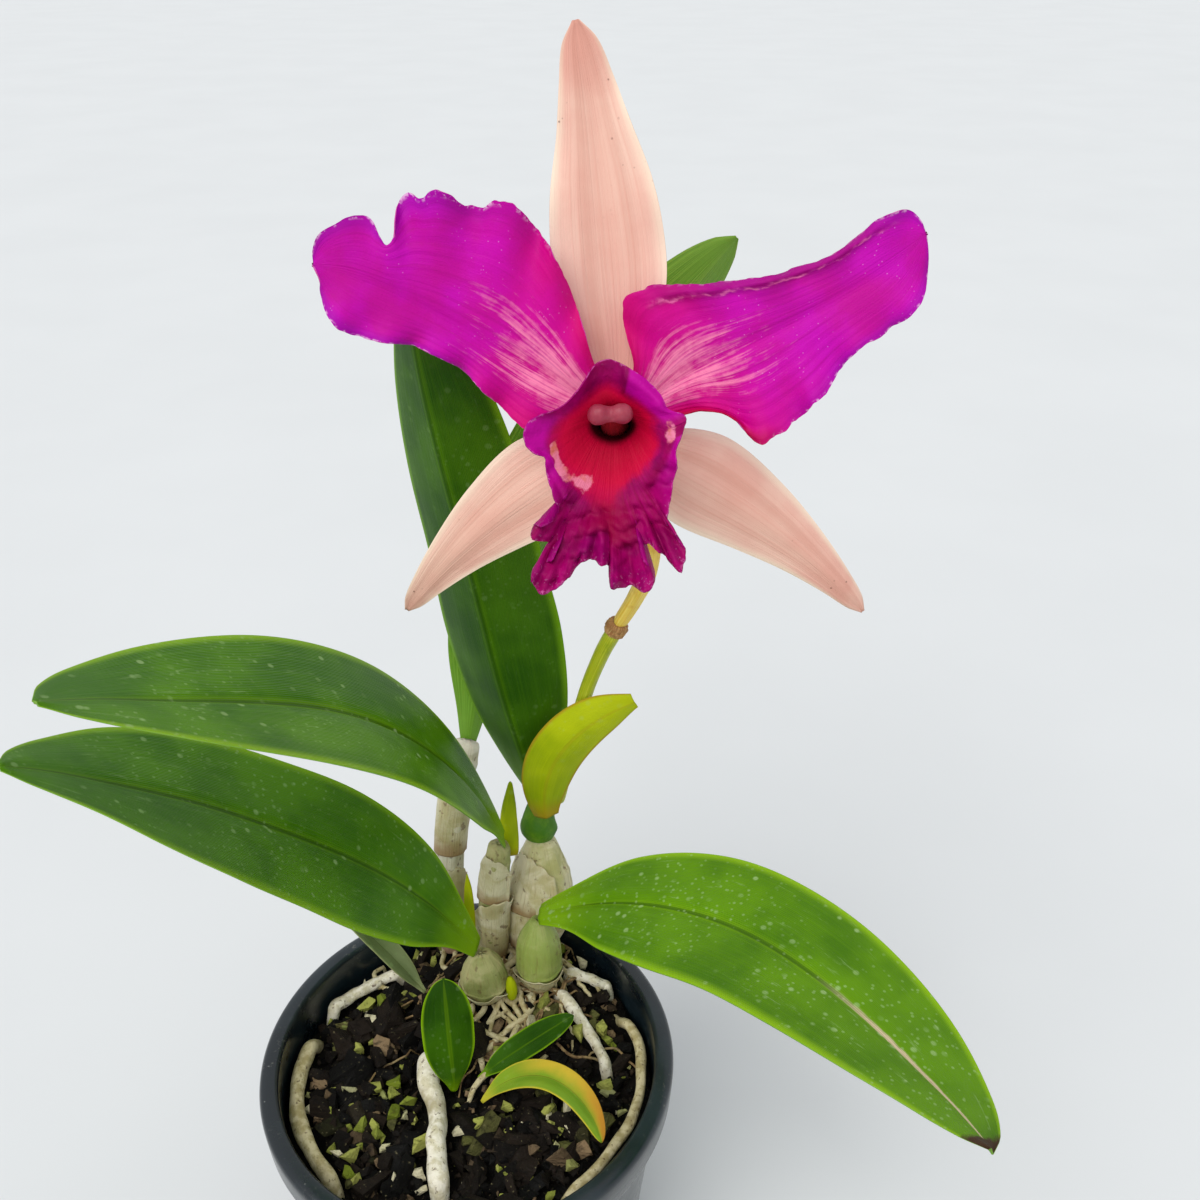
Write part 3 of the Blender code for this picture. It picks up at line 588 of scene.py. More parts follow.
def blade(name, skins, base, heading, turn, pitch, length, width, roll=(0, 0), fold=5.0,
          outline=LEAF_OUTLINE, thick=1.5, rows=96, columns=24, seed=1, ripple=0.0, ripples=4.0,
          crease=0.5, sway=0.4, flower=False):
    """A leaf or sepal hung on a bending midrib, with a sunk midrib and a wavy edge."""
    t = np.linspace(0, 1, rows + 1)
    across = np.sin(np.linspace(-pi / 2, pi / 2, columns + 1))
    fine = np.linspace(0, 1, MIDRIB_STEPS + 1)
    rise = np.radians(along(pitch, fine))
    way = np.radians(heading + turn * fine)
    ahead = np.stack([np.cos(rise) * np.cos(way), np.cos(rise) * np.sin(way), np.sin(rise)], -1)
    steps = (ahead[1:] + ahead[:-1]) / 2 * length / MIDRIB_STEPS
    midrib = np.array(base) + np.concatenate([np.zeros((1, 3)), np.cumsum(steps, 0)])
    side = np.stack([np.sin(way), -np.cos(way), 0 * way], -1)
    up = np.cross(side, ahead)
    bank = np.radians(along(roll, fine))[:, None]
    right = side * np.cos(bank) + up * np.sin(bank)
    face = up * np.cos(bank) - side * np.sin(bank)

    def at(table):
        return np.stack([np.interp(t, fine, table[:, k]) for k in range(3)], -1)[:, None, :]

    tt, ss = np.meshgrid(t, across, indexing="ij")
    half = width * np.maximum(along(outline, t), 0.02)[:, None]
    lift = sin(radians(fold)) * np.abs(ss)**1.3 * half
    lift = lift - crease * np.exp(-(ss * half / 1.6)**2) * soft(0, 0.1, tt) * soft(1.0, 0.8, tt)
    lift = lift + sway * wobble(seed, tt * 5.0, ss * 2.2)
    side_phase = np.where(ss > 0, 1.1, 3.7) + seed
    calm = np.sin(pi * np.clip(tt, 0, 1))**0.6
    lift = lift + ripple * np.abs(ss)**2 * calm * np.sin(2 * pi * ripples * tt + side_phase)
    lift = lift + ripple * 0.5 * np.abs(ss)**3 * calm * np.sin(2 * pi * ripples * 2.3 * tt + 2 * side_phase)
    sideways = ss * cos(radians(fold)) * half
    grid = at(midrib) + at(right) * sideways[..., None] + at(face) * lift[..., None]
    front_way = np.broadcast_to(at(face), grid.shape)
    if flower:
        grid = in_flower(grid)
        front_way = front_way @ FLOWER_AXES
    thickness = thick * (1 - 0.8 * np.abs(ss)**2.5) * (0.35 + 0.65 * soft(1.02, 0.9, tt))
    uv = np.stack([tt, ss * 0.5 + 0.5], -1)
    return sheet(name, grid, thickness, uv, front_way, skins, [name])


def tube_grid(points, radii, rings, sides, flatten=1.0):
    """The spine of a tube, its radius at each ring, and the outward ways round it, without twist."""
    places = np.linspace(0, 1, rings + 1)
    spine = run_along(points, places)
    sizes = np.maximum(along(radii, places), 0.25)
    ahead = np.gradient(spine, axis=0)
    ahead /= np.linalg.norm(ahead, axis=1, keepdims=True)
    first = np.array([1.0, 0.0, 0.0]) if abs(ahead[0][0]) < 0.8 else np.array([0.0, 1.0, 0.0])
    angle = np.linspace(0, 2 * pi, sides + 1)
    firsts = []
    for way in ahead:
        first = first - way * np.dot(first, way)
        first /= np.linalg.norm(first)
        firsts.append(first)
    firsts = np.array(firsts)
    seconds = np.cross(ahead, firsts)
    out = firsts[:, None] * np.cos(angle)[None, :, None]
    out = out + seconds[:, None] * np.sin(angle)[None, :, None] * flatten
    return spine, sizes, out, angle, places


def limb(name, skin, slot, points, radii, rings=40, sides=24, flatten=1.0, ribs=0, rib=0.0, seed=1,
         rough=0.02, rings_at=(), ring_size=0.05, flower=False, replaced=True, shape=None):
    """Round stem, root or bulb with ribs, lumps and raised rings; ends are closed and rounded."""
    spine, sizes, out, angle, places = tube_grid(points, radii, rings, sides, flatten)
    tt, aa = np.meshgrid(places, angle, indexing="ij")
    swell = 1 + rib * np.cos(ribs * aa + 0.5 * wobble(seed, tt * 6)) if ribs else np.ones_like(tt)
    swell = swell + rough * wobble(seed + 1, np.cos(aa) * 3, np.sin(aa) * 3, tt * 22, octaves=3)
    for spot in rings_at:
        swell = swell + ring_size * np.exp(-((tt - spot) * rings / 1.3)**2)
    ends = np.sqrt(np.clip(1 - (np.abs(tt * 2 - 1))**(2 * max(6, rings // 3)), 0, 1))
    grow = sizes[:, None] * swell * (0.25 + 0.75 * ends)
    if shape:
        grow = shape(tt, aa, grow)
    grid = spine[:, None] + out * grow[..., None]
    grid[:, -1] = grid[:, 0]
    if flower:
        grid = in_flower(grid)
        spine = in_flower(spine)
    verts, faces, keep = closed_tube(grid, spine)
    uv = np.stack([tt, aa / (2 * pi)], -1).reshape(-1, 2)
    uv = np.concatenate([uv, [[0, 0.5], [1, 0.5]]])[keep]
    return piece(name, verts, faces, [skin], [0] * len(faces), [name] if replaced else [], uv)


def closed_tube(grid, spine):
    """One closed skin round a grid of rings: the seam is joined and each end is a fan."""
    rows, columns = grid.shape[:2]
    count = rows * columns
    verts = np.concatenate([grid.reshape(-1, 3), spine[[0, -1]]])
    faces = quads(rows, columns, 0, True).tolist()
    last = count - columns
    for k in range(columns - 1):
        faces += [(count, k + 1, k), (count + 1, last + k, last + k + 1)]
    remap = np.arange(count + 2)
    seam = np.arange(rows) * columns + columns - 1
    remap[seam] = seam - columns + 1
    keep = np.flatnonzero(remap == np.arange(count + 2))
    place = np.empty(count + 2, int)
    place[keep] = np.arange(len(keep))
    return verts[keep], [tuple(int(place[remap[i]]) for i in face) for face in faces], keep


# ------------------------------------------------------------------ pot and bark mix
MIX_LEVEL = 83.0
MIX_RADIUS = 50.0
FINES_DROP = 2.6  # the dark fines lie this far under the tops of the chips
MIX_FOOT_RADIUS = 41.2
MIX_FOOT_LEVEL = 2.4
DRAIN_HOLES = 6
DRAIN_RADIUS = 4.0
DRAIN_CIRCLE = 29
CHIP_REACH = 48.5


def mix_top(x, y):
    """Height of the mix, mounded round the foot of the plant."""
    return MIX_LEVEL + 10.0 * np.exp(-((x - 8.0)**2 + (y - 30.0)**2) / 648.0)


def lathe(profile, steps):
    """The profile of radius and height pairs, turned once round the upright axis."""
    bm = bmesh.new()
    verts = [bm.verts.new((r * MM, 0, z * MM)) for r, z in profile]
    edges = [bm.edges.new(pair) for pair in zip(verts, verts[1:])]
    bmesh.ops.spin(bm, geom=verts + edges, axis=(0, 0, 1), cent=(0, 0, 0), steps=steps, angle=2 * pi)
    bmesh.ops.remove_doubles(bm, verts=bm.verts, dist=0.00001)
    bmesh.ops.recalc_face_normals(bm, faces=bm.faces)
    mesh = bpy.data.meshes.new("pot_fine")
    bm.to_mesh(mesh)
    bm.free()
    return mesh


def make_pot():
    """Tapered pot with a stepped rim, a foot ring and drain holes in its floor."""
    rim = [(50.9, 70.0), (50.9, 93.4), (51.05, 94.2), (51.5, 94.8), (52.1, 95.0), (53.6, 95.0),
           (54.8, 94.9), (55.5, 94.5), (55.85, 93.9), (56.0, 93.2), (55.95, 91.5), (55.6, 86.0),
           (55.4, 85.3), (54.9, 85.0), (53.2, 84.9), (52.7, 84.5), (52.5, 83.6), (52.2, 81.0)]
    body = [(48.9, 50.0), (45.4, 15.0), (44.3, 4.0), (44.1, 2.6), (43.7, 1.2), (43.1, 0.4), (42.4, 0.0)]
    foot = [(34.0, 0.0), (33.4, 0.5), (20.0, 0.5), (19.4, 0.0), (0.0, 0.0)]
    inside = [(0.0, 2.0), (41.0, 2.0), (41.7, 2.6)]
    mesh = lathe(inside + rim + body + foot, 192)
    thing = bpy.data.objects.new("pot_fine", mesh)
    bpy.context.scene.collection.objects.link(thing)
    bpy.ops.mesh.primitive_cylinder_add(vertices=32, radius=DRAIN_RADIUS * MM, depth=0.012)
    drill = bpy.context.object
    for k in range(DRAIN_HOLES):
        a = 2 * pi * k / DRAIN_HOLES
        hole = drill if k == 0 else drill.copy()
        hole.location = (DRAIN_CIRCLE * MM * cos(a), DRAIN_CIRCLE * MM * sin(a), 0)
        if k:
            bpy.context.scene.collection.objects.link(hole)
        cut = thing.modifiers.new("drain", "BOOLEAN")
        cut.object = hole
        cut.solver = "EXACT"
    bpy.context.view_layer.update()
    done = bpy.data.meshes.new_from_object(thing.evaluated_get(bpy.context.evaluated_depsgraph_get()))
    for extra in [o for o in bpy.context.scene.objects if o.name.startswith("Cylinder")]:
        bpy.data.objects.remove(extra)
    thing.modifiers.clear()
    thing.data = done
    done.materials.clear()
    done.materials.append(POT)
    done.shade_smooth()
    done.set_sharp_from_angle(angle=radians(40))
    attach(thing, "root")
    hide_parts("pot")


make_pot()


def make_mix():
    """Dark ground of fines under the loose chips, filling the pot."""
    rings, sides = 40, 120
    r = np.linspace(0, MIX_RADIUS, rings + 1)[1:]
    a = np.linspace(0, 2 * pi, sides, endpoint=False)
    rr, aa = np.meshgrid(r, a, indexing="ij")
    x, y = rr * np.cos(aa), rr * np.sin(aa)
    z = mix_top(x, y) - FINES_DROP + 1.2 * wobble(5, x * 0.9, y * 0.9, octaves=4)
    top = np.stack([x, y, z], -1).reshape(-1, 3)
    low = np.stack([np.cos(a), np.sin(a), np.ones(sides)], -1)
    low = low * [MIX_FOOT_RADIUS, MIX_FOOT_RADIUS, MIX_FOOT_LEVEL]
    verts = np.concatenate([[[0, 0, mix_top(0, 0) - FINES_DROP]], top, low, [[0, 0, MIX_FOOT_LEVEL]]])
    faces = []
    for k in range(sides):
        n = (k + 1) % sides
        faces.append((0, 1 + k, 1 + n))
        for ring in range(rings):
            p, q = 1 + ring * sides + k, 1 + ring * sides + n
            faces.append((p, p + sides, q + sides, q))
        last = 1 + rings * sides
        faces.append((last + k, len(verts) - 1, last + n))
    tint = np.random.default_rng(4).uniform(0, 0.5, (len(verts), 2))
    piece("potting_mix_fines", verts, faces, [BARK], [0] * len(faces), ["potting_mix"], tint)


make_mix()

ROOTS = {
    "root_front": ([(-12.6, 4), (-10.6, -5), (-8.2, -14), (-6.6, -24), (-4.6, -35)], 5.4),
    "root_right": ([(24.5, 22.5), (30, 16), (34.5, 9), (37.6, 2)], 3.4),
    "root_upper_right": ([(27.5, 31), (33.5, 30), (38.5, 29)], 3.2),
    "root_left": ([(-43, 22), (-37, 27), (-31, 31.5), (-24, 34)], 3.6),
    "root_rim_left": ([(-46, 12), (-47.4, 3), (-47.4, -5), (-45, -14), (-39.6, -24), (-31.6, -34)], 4.2),
    "root_rim_right": ([(41.5, 20), (46.4, 11), (47.6, 2), (46.6, -8), (41.8, -19), (34.4, -30),
                        (25.6, -38)], 3.0),
}


def buried(points, half, wander, seed, over=0.6):
    """A root's path over the mix: it wanders a little and both of its ends dive under."""
    table = np.array(points, float)
    before = table[0] - (table[1] - table[0]) * 0.35
    after = table[-1] + (table[-1] - table[-2]) * 0.3
    table = np.concatenate([[before], table, [after]])
    places = np.linspace(0, 1, 26)
    x, y = run_along(table, places).T
    calm = np.sin(pi * places)
    x = x + wander * calm * wobble(seed, places * 9)
    y = y + wander * calm * wobble(seed + 1, places * 9)
    pull = np.minimum(1, 49.4 / (np.hypot(x, y) + half))
    x, y = x * pull, y * pull
    z = mix_top(x, y) + half * 0.75 + over + 0.5 * wobble(seed + 2, places * 8)
    z = z - (half * 2 + 3.0) * (soft(0.13, 0.0, places) + soft(0.87, 1.0, places))
    return np.stack([x, y, z], -1)


for number, (name, (points, size)) in enumerate(ROOTS.items()):
    half = size / 2
    sizes = half * np.array([0.8, 1.0, 1.05, 0.92, 1.02, 0.9, 0.98, 0.8])
    skin = ROOT_BEIGE if "rim" in name else ROOT
    limb(name, skin, "root_white", buried(points, half, 0.6, 120 + 5 * number), sizes, rings=110, sides=20,
         seed=20 + number, rough=0.1)


def many_roots(name, skin, seed, count, thick, lengths, centre, spread):
    """Thin dry roots straggling out of the foot of the plant, in one mesh."""
    rng = np.random.default_rng(seed)
    verts, faces, uvs = [], [], []
    base = 0
    for k in range(count):
        way = rng.uniform(0, 2 * pi)
        start = np.array(centre) + rng.normal(0, spread, 2)
        length = rng.uniform(*lengths)
        steps = np.linspace(0, 1, 6)
        ways = way + rng.normal(0, 0.9) * steps
        path = start + np.stack([np.cos(ways), np.sin(ways)], -1) * (steps * length)[:, None]
        half = rng.uniform(*thick) / 2
        path = buried(path, half, 1.4, 300 + 3 * k, rng.uniform(0.2, 1.6))
        spine, sizes, out = tube_grid(path, [half * 0.7, half, half, half * 0.6], 26, 8)[:3]
        points, own, _ = closed_tube(spine[:, None] + out * sizes[:, None, None], spine)
        verts.append(points)
        uvs.append(points[:, :2] * 0.01)
        faces += [tuple(i + base for i in face) for face in own]
        base += len(points)
    piece(name, np.concatenate(verts), faces, [skin], [0] * len(faces), [], np.concatenate(uvs))


many_roots("foot_roots", ROOT_BEIGE, 7, 30, (1.0, 2.0), (12, 30), (8.0, 28.0), 8.0)
many_roots("fine_roots", ROOT_BROWN, 8, 46, (0.5, 0.9), (10, 26), (6.0, 22.0), 13.0)
many_roots("stray_roots", ROOT_BEIGE, 12, 7, (1.2, 2.2), (12, 24), (4.0, 12.0), 18.0)


def chip_shapes(rng, count, stocky):
    """Angular lumps: the convex hull of a few points scattered in a flattened box."""
    shapes = []
    for _ in range(count):
        bm = bmesh.new()
        spread = rng.uniform(-1, 1, (15, 3))
        spread *= np.array([1.0, rng.uniform(0.45, 0.8), rng.uniform(*stocky)])
        for p in spread:
            bm.verts.new(p)
        bmesh.ops.convex_hull(bm, input=bm.verts)
        loose = [v for v in bm.verts if not v.link_faces]
        bmesh.ops.delete(bm, geom=loose, context="VERTS")
        bmesh.ops.subdivide_edges(bm, edges=bm.edges, cuts=1, use_grid_fill=True)
        bmesh.ops.triangulate(bm, faces=bm.faces)
        bm.verts.index_update()
        verts = np.array([v.co[:] for v in bm.verts])
        verts = verts * (1 + 0.07 * wobble(int(rng.integers(999)), *(verts * 5).T)[:, None])
        shapes.append((verts, np.array([[v.index for v in f.verts] for f in bm.faces])))
        bm.free()
    return shapes


def scatter(name, skin, rng, count, sizes, stocky, sink, replaced=(), clear_bulbs=1.0):
    """Loose pieces tipped in all directions over the mix, kept off the roots and leaf bases."""
    shapes = chip_shapes(rng, 16, stocky)
    keep_off = []
    for points, size in ROOTS.values():
        table = np.array(points, float)
        for a, b in zip(table, table[1:]):
            for share in np.linspace(0, 1, 8):
                keep_off.append((*(a + (b - a) * share), size / 2 + 0.4))
    keep_off += [(14.6, 36.6, 4.5), (18.2, 26.0, 4.5), (4.4, 36.0, 3.6), (2.9, 21.5, 4.5), (-9.0, 41.5, 3.6),
                 (-4.0, -5.6, 1.5), (2.6, -3.0, 1.5), (4.0, -9.6, 1.5)]
    keep_off = np.array(keep_off)
    verts, faces, tints = [], [], []
    base = placed = tries = 0
    while placed < count and tries < count * 30:
        tries += 1
        spread = CHIP_REACH * np.sqrt(rng.uniform())
        a = rng.uniform(0, 2 * pi)
        x, y = spread * cos(a), spread * sin(a)
        size = rng.uniform(*sizes) * (0.7 if rng.uniform() < 0.4 else 1.0)
        gap = np.hypot(keep_off[:, 0] - x, keep_off[:, 1] - y) - keep_off[:, 2]
        if gap.min() < size * 0.36 * clear_bulbs or np.hypot(x, y) > MIX_RADIUS - size * 0.5:
            continue
        placed += 1
        points, tris = shapes[int(rng.integers(len(shapes)))]
        points = points * size / 2
        spin = rng.uniform(0, 2 * pi)
        tip = rng.normal(0, 0.32)
        roll = rng.normal(0, 0.3)
        turn_z = np.array([[cos(spin), -sin(spin), 0], [sin(spin), cos(spin), 0], [0, 0, 1]])
        turn_x = np.array([[1, 0, 0], [0, cos(tip), -sin(tip)], [0, sin(tip), cos(tip)]])
        turn_y = np.array([[cos(roll), 0, sin(roll)], [0, 1, 0], [-sin(roll), 0, cos(roll)]])
        points = points @ turn_x.T @ turn_y.T @ turn_z.T
        z = mix_top(x, y) - 1.6 - points[:, 2].min() * (1 - sink) + rng.uniform(-0.8, 0.5)
        verts.append(points + np.array([x, y, z]))
        faces.append(tris + base)
        base += len(points)
        tints.append(np.tile(rng.uniform(0, 1, 2), (len(points), 1)))
    faces = np.concatenate(faces).tolist()
    return piece(name, np.concatenate(verts), faces, [skin], [0] * len(faces), replaced,
                 np.concatenate(tints), sharp=32)


dice = np.random.default_rng(11)
scatter("bark_large", BARK, dice, 150, (9.0, 15.0), (0.3, 0.55), 0.35,
        replaced=[f"bark_chip_{k}" for k in range(1, 7)])
scatter("bark_medium", BARK, dice, 520, (4.0, 8.0), (0.35, 0.7), 0.3)
scatter("bark_small", BARK, dice, 900, (1.5, 3.6), (0.4, 0.9), 0.1, clear_bulbs=0.3)
scatter("moss_bits", MOSS, dice, 200, (2.2, 6.4), (0.6, 0.95), -0.15, clear_bulbs=0.3)


# ------------------------------------------------------------------ bulbs
FRONT = [(14.6, 36.6, 0), (16.8, 42.6, 103), (18.2, 46, 113), (18.5, 47, 122), (18.5, 47.3, 128.5)]
FRONT_SIZES = [3.8, 8.0, 9.8, 9.4, 7.0, 4.0]
GREEN = [(18.2, 26.0, 0), (18.2, 26.2, 104), (18.4, 26.8, 116.4)]
MIDDLE = [(4.4, 36.0, 0), (4.6, 36.0, 112), (7.4, 36.2, 136.4)]
LEFT = [(2.9, 21.5, 0), (2.6, 21.8, 99), (1.8, 22.6, 107.6)]
BACK = [(-9.0, 41.5, 0), (-9.3, 46.0, 112), (-7.2, 52.5, 136), (-2.6, 59.0, 156)]


def planted(points):
    """The path with its first point set down on the mix."""
    x, y, _ = points[0]
    return [(x, y, mix_top(x, y) + 0.2), *points[1:]]


def bulb(name, skin, slot, points, radii, **more):
    """A swollen stem standing on the mix."""
    limb(name, skin, slot, planted(points), radii, rings=72, sides=48, **more)


bulb("pseudobulb_front", BULB_PAPER, "papery_bulb",
     FRONT,
     FRONT_SIZES, ribs=9, rib=0.035, seed=31, rough=0.035, rings_at=(0.35, 0.72),
     ring_size=0.03)
bulb("pseudobulb_green", BULB_GREEN, "green_bulb",
     GREEN, [3.6, 6.2, 6.5, 5.6, 2.4],
     ribs=6, rib=0.02, seed=32, rings_at=(0.3,))
bulb("pseudobulb_middle", BULB_KHAKI, "green_bulb",
     MIDDLE, [3.4, 4.3, 4.3, 3.9, 3.2],
     ribs=7, rib=0.03, seed=33, rings_at=(0.22, 0.55, 0.86), ring_size=0.06)
bulb("pseudobulb_left", BULB_KHAKI, "green_bulb",
     LEFT, [3.8, 6.4, 6.6, 5.4, 2.8],
     ribs=8, rib=0.03, seed=34, rings_at=(0.35,))
bulb("pseudobulb_back", BULB_OLD, "old_bulb",
     BACK,
     [3.4, 4.3, 4.2, 4.4, 3.8], ribs=6, rib=0.03, seed=35, rings_at=(0.3, 0.62, 0.9), ring_size=0.08)


def wrap(name, skin, points, radii, start, stop, turn, sweep, seed, torn=2.2, gap=0.2):
    """Dry scale wrapped part of the way round a bulb, its upper edge torn and curling off."""
    spine, sizes, out, _, places = tube_grid(planted(points), radii, 120, 8)
    rows, columns = 50, 60
    share = np.linspace(0, 1, rows + 1)
    side = np.linspace(0, 1, columns + 1)
    rr, cc = np.meshgrid(share, side, indexing="ij")
    top = stop - 0.02 * torn * np.abs(wobble(seed, cc * 6, octaves=4)) - 0.14 * (2 * cc - 1)**2
    tt = start + (top - start) * rr

    def at(table):
        return np.interp(tt, places, table)

    first = np.stack([at(out[:, 0, k]) for k in range(3)], -1)
    second = np.stack([at(out[:, 2, k]) for k in range(3)], -1)
    aa = turn + (cc - 0.5) * sweep
    swell = at(sizes) * 1.05 + gap + 0.25 * wobble(seed + 1, cc * 9, rr * 4)
    swell = swell + 0.5 * soft(0.8, 1.0, rr) * (0.3 + np.abs(wobble(seed + 2, cc * 7)))
    swell = swell + 0.5 * soft(0.86, 1.0, np.abs(2 * cc - 1))
    ring = first * np.cos(aa)[..., None] + second * np.sin(aa)[..., None]
    grid = np.stack([at(spine[:, k]) for k in range(3)], -1) + ring * swell[..., None]
    uv = np.stack([rr, cc], -1)
    return sheet(name, grid, np.full(rr.shape, 0.22), uv, ring, [skin, skin], [])


wrap("front_scale_low", PAPER, FRONT, FRONT_SIZES, 0.05, 0.62, -1.2, 3.6, 201)
wrap("front_scale_high", PAPER, FRONT, FRONT_SIZES, 0.4, 0.93, -2.3, 2.6, 202)
wrap("green_scale", PAPER, GREEN, [3.6, 6.2, 6.5, 5.6, 2.4], 0.02, 0.34, -1.4, 4.4, 203, 4.5)
wrap("middle_scale", PAPER, MIDDLE, [3.4, 4.3, 4.3, 3.9, 3.2], 0.02, 0.6, -1.0, 3.8, 204)
wrap("middle_scale_high", PAPER, MIDDLE, [3.4, 4.3, 4.3, 3.9, 3.2], 0.56, 0.96, -2.0, 3.0, 205)
wrap("left_scale", PAPER, LEFT, [3.8, 6.4, 6.6, 5.4, 2.8], 0.02, 0.4, -1.8, 4.4, 206, 4.5)
wrap("back_scale_low", PAPER, BACK, [3.4, 4.3, 4.2, 4.4, 3.8], 0.1, 0.45, -1.2, 4.4, 207)
wrap("back_scale_high", PAPER, BACK, [3.4, 4.3, 4.2, 4.4, 3.8], 0.5, 0.9, -1.8, 4.2, 208)

# ------------------------------------------------------------------ leaves
TOP = [LEAF_TOP, LEAF_UNDER]
SPOTTED = [LEAF_SPOTTED, LEAF_UNDER]
TALL = [LEAF_UNDER, LEAF_TALL]
YOUNG = [LEAF_YOUNG, LEAF_UNDER]
limb("leaf_petiole", PETIOLE, "tall_leaf_green", [(18.4, 47.5, 127.4), (18.0, 48.0, 134), (18.9, 49.2, 144.4)],
     [3.2, 5.2, 4.5, 3.4, 1.6], rings=50, sides=40, flatten=0.62, seed=41, ribs=4, rib=0.04)
blade("leaf_tall", TALL, (19.0, 49.2, 141.2), 197, 14, [74, 80, 80, 86], 161, 18.3,
      roll=(-62, -28), fold=26, outline=TALL_OUTLINE, seed=42, crease=0.8)
blade("leaf_back", TOP, (-2.4, 59.6, 153.8), 6, 2, [82, 70, 57, 45], 163, 15.6,
      roll=(80, 80), fold=14, seed=43)
blade("leaf_upper_left", SPOTTED, (8.6, 36.0, 138.2), 225, 8, [72, 52, 31, 28], 159, 23.9,
      roll=(35, 3), fold=4, seed=44, rows=120, columns=32, crease=0.9, sway=0.6)
blade("leaf_lower_left", SPOTTED, (0.8, 23.4, 108.8), 198, 27, [65, 48, 43, 35], 150, 21.6,
      roll=(42, 0), fold=3, outline=BROAD_TIP_OUTLINE, seed=45, rows=120, columns=32, crease=0.9, sway=0.6)
blade("leaf_right", [LEAF_DRIED, LEAF_UNDER],
      (19.0, 27.2, 118.0), -18, -50, [34, 16, -1, 5], 144, 22.5,
      roll=(-23, 22), fold=4, seed=46, rows=120, columns=32, crease=0.9, sway=0.6)
blade("leaf_old", [LEAF_PALE, LEAF_PALE], (-15.5, 24.0, 90.0), 176, 10, [60, 58, 56, 54],
      46, 4.0, roll=(30, 10), fold=20, seed=47, thick=0.9, rows=60)
blade("leaf_small_upright", [LEAF_UNDER, LEAF_YOUNG],
      (-4.0, -5.6, 85.2), 285, -7, [95, 106, 108, 99], 35, 7.1,
      fold=8, thick=1.1, seed=48, rows=60)
blade("leaf_small_right", YOUNG, (2.6, -3.0, 86.6), 25, 9, [31, 18, 10, 2], 31, 4.0,
      roll=(-10, -20), fold=9, thick=1.0, seed=49, rows=60, sway=0.2)
blade("leaf_yellowing", [LEAF_YELLOW, LEAF_YELLOW], (4.0, -9.6, 85.4), 24, -98,
      [52, 22, -8, -26], 45, 4.2, roll=(-20, 0), fold=15, thick=1.0, seed=50, rows=60, sway=0.2)

# ------------------------------------------------------------------ bracts, bud, sheath, stalk
limb("bract_stub", SHEATH, "sheath_green", [(10.0, 41.6, 127), (9.8, 42.0, 140), (10.8, 42.6, 153.6)],
     [2.2, 2.6, 2.0, 0.5], rings=50, sides=24, flatten=0.45, seed=51, ribs=3, rib=0.06)
blade("bract_thin", [SHEATH, SHEATH_IN], (-1.6, 30.4, 101), 95, 0, [84, 84, 88], 27, 1.5,
      outline=[(0, 0.6), (0.15, 0.9), (0.5, 1.0), (0.8, 0.75), (1, 0.12)], thick=0.8, rows=40, columns=10,
      crease=0.1, sway=0.1, seed=52)
limb("eye_bud", SHEATH, "sheath_green", [(10.6, 18.6, 93.4), (10.6, 18.8, 97), (10.2, 19.0, 102)],
     [1.2, 1.6, 1.5, 0.6], rings=24, sides=20, seed=53)
blade("flower_sheath", [SHEATH_IN, SHEATH], (20.8, 39.6, 143.0), 2, -2, [100, 78, 56, 38, 26],
      50, 8.2, roll=(90, 90), fold=20, outline=[(0, 0.45), (0.25, 0.9), (0.55, 1.0), (0.8, 0.8), (1, 0.3)],
      thick=0.8, rows=70, crease=-0.3, sway=0.3, seed=54)
limb("flower_stalk", STALK, "stalk_green",
     [(23.6, 44.6, 144.5), (28.0, 46.0, 164), (32.0, 45.0, 182), (36.4, 42.4, 196.5), (39.6, 40.2, 204.6)],
     [2.1, 2.1, 2.0, 2.0, 2.2], rings=80, sides=24, seed=55, ribs=5, rib=0.02, rough=0.015)
limb("stalk_bract", BRACT, "bract_brown", [(39.5, 40.2, 204.2), (40.7, 39.5, 207.8)], [2.7, 2.9, 2.5],
     rings=24, sides=28, seed=56, rough=0.08, ribs=9, rib=0.04)
limb("pedicel", PEDICEL, "pedicel_yellow",
     [(40.7, 39.4, 207.4), (44.6, 36.8, 216.5), (47.4, 33.8, 226), (47.6, 30.4, 240),
      (43.4, 26.2, 254), (40.4, 22.8, 263.0), (40.0, 18.6, 268.0)],
     [1.9, 2.1, 2.3, 2.4, 2.4, 2.6, 3.6, 4.2], rings=110, sides=30, seed=57, ribs=3, rib=0.08, rough=0.01)

# ------------------------------------------------------------------ sepals and petals
SEPAL_OUTLINE = [(0, 0.3), (0.15, 0.68), (0.33, 0.97), (0.45, 1.0), (0.6, 0.88), (0.74, 0.64),
                 (0.86, 0.46), (0.95, 0.3), (1, 0.06)]
LATERAL_OUTLINE = [(0, 0.42), (0.12, 0.84), (0.24, 1.0), (0.45, 0.82), (0.66, 0.56), (0.84, 0.34),
                   (0.95, 0.2), (1, 0.05)]
BACKED = [SEPAL, SEPAL_BACK]
blade("sepal_dorsal", BACKED, (-0.4, 5.2, -1.4), 91.4, 10, [-5, -1, 1, 3], 76, 11.8, fold=6,
      outline=SEPAL_OUTLINE, thick=1.0, ripple=0.7, ripples=2, seed=61, flower=True, crease=0.35)
blade("sepal_left", BACKED, (-4.4, -4.0, -2.0), 209, 26, [-4, -10, -14, -18], 63, 11.0,
      fold=-4, outline=LATERAL_OUTLINE, thick=1.0, seed=62, flower=True, crease=-0.35)
blade("sepal_right", BACKED, (4.4, -4.0, -2.0), -25, -25, [-4, -10, -14, -16], 70, 11.2,
      fold=-4, outline=LATERAL_OUTLINE, thick=1.0, seed=63, flower=True, crease=-0.35)

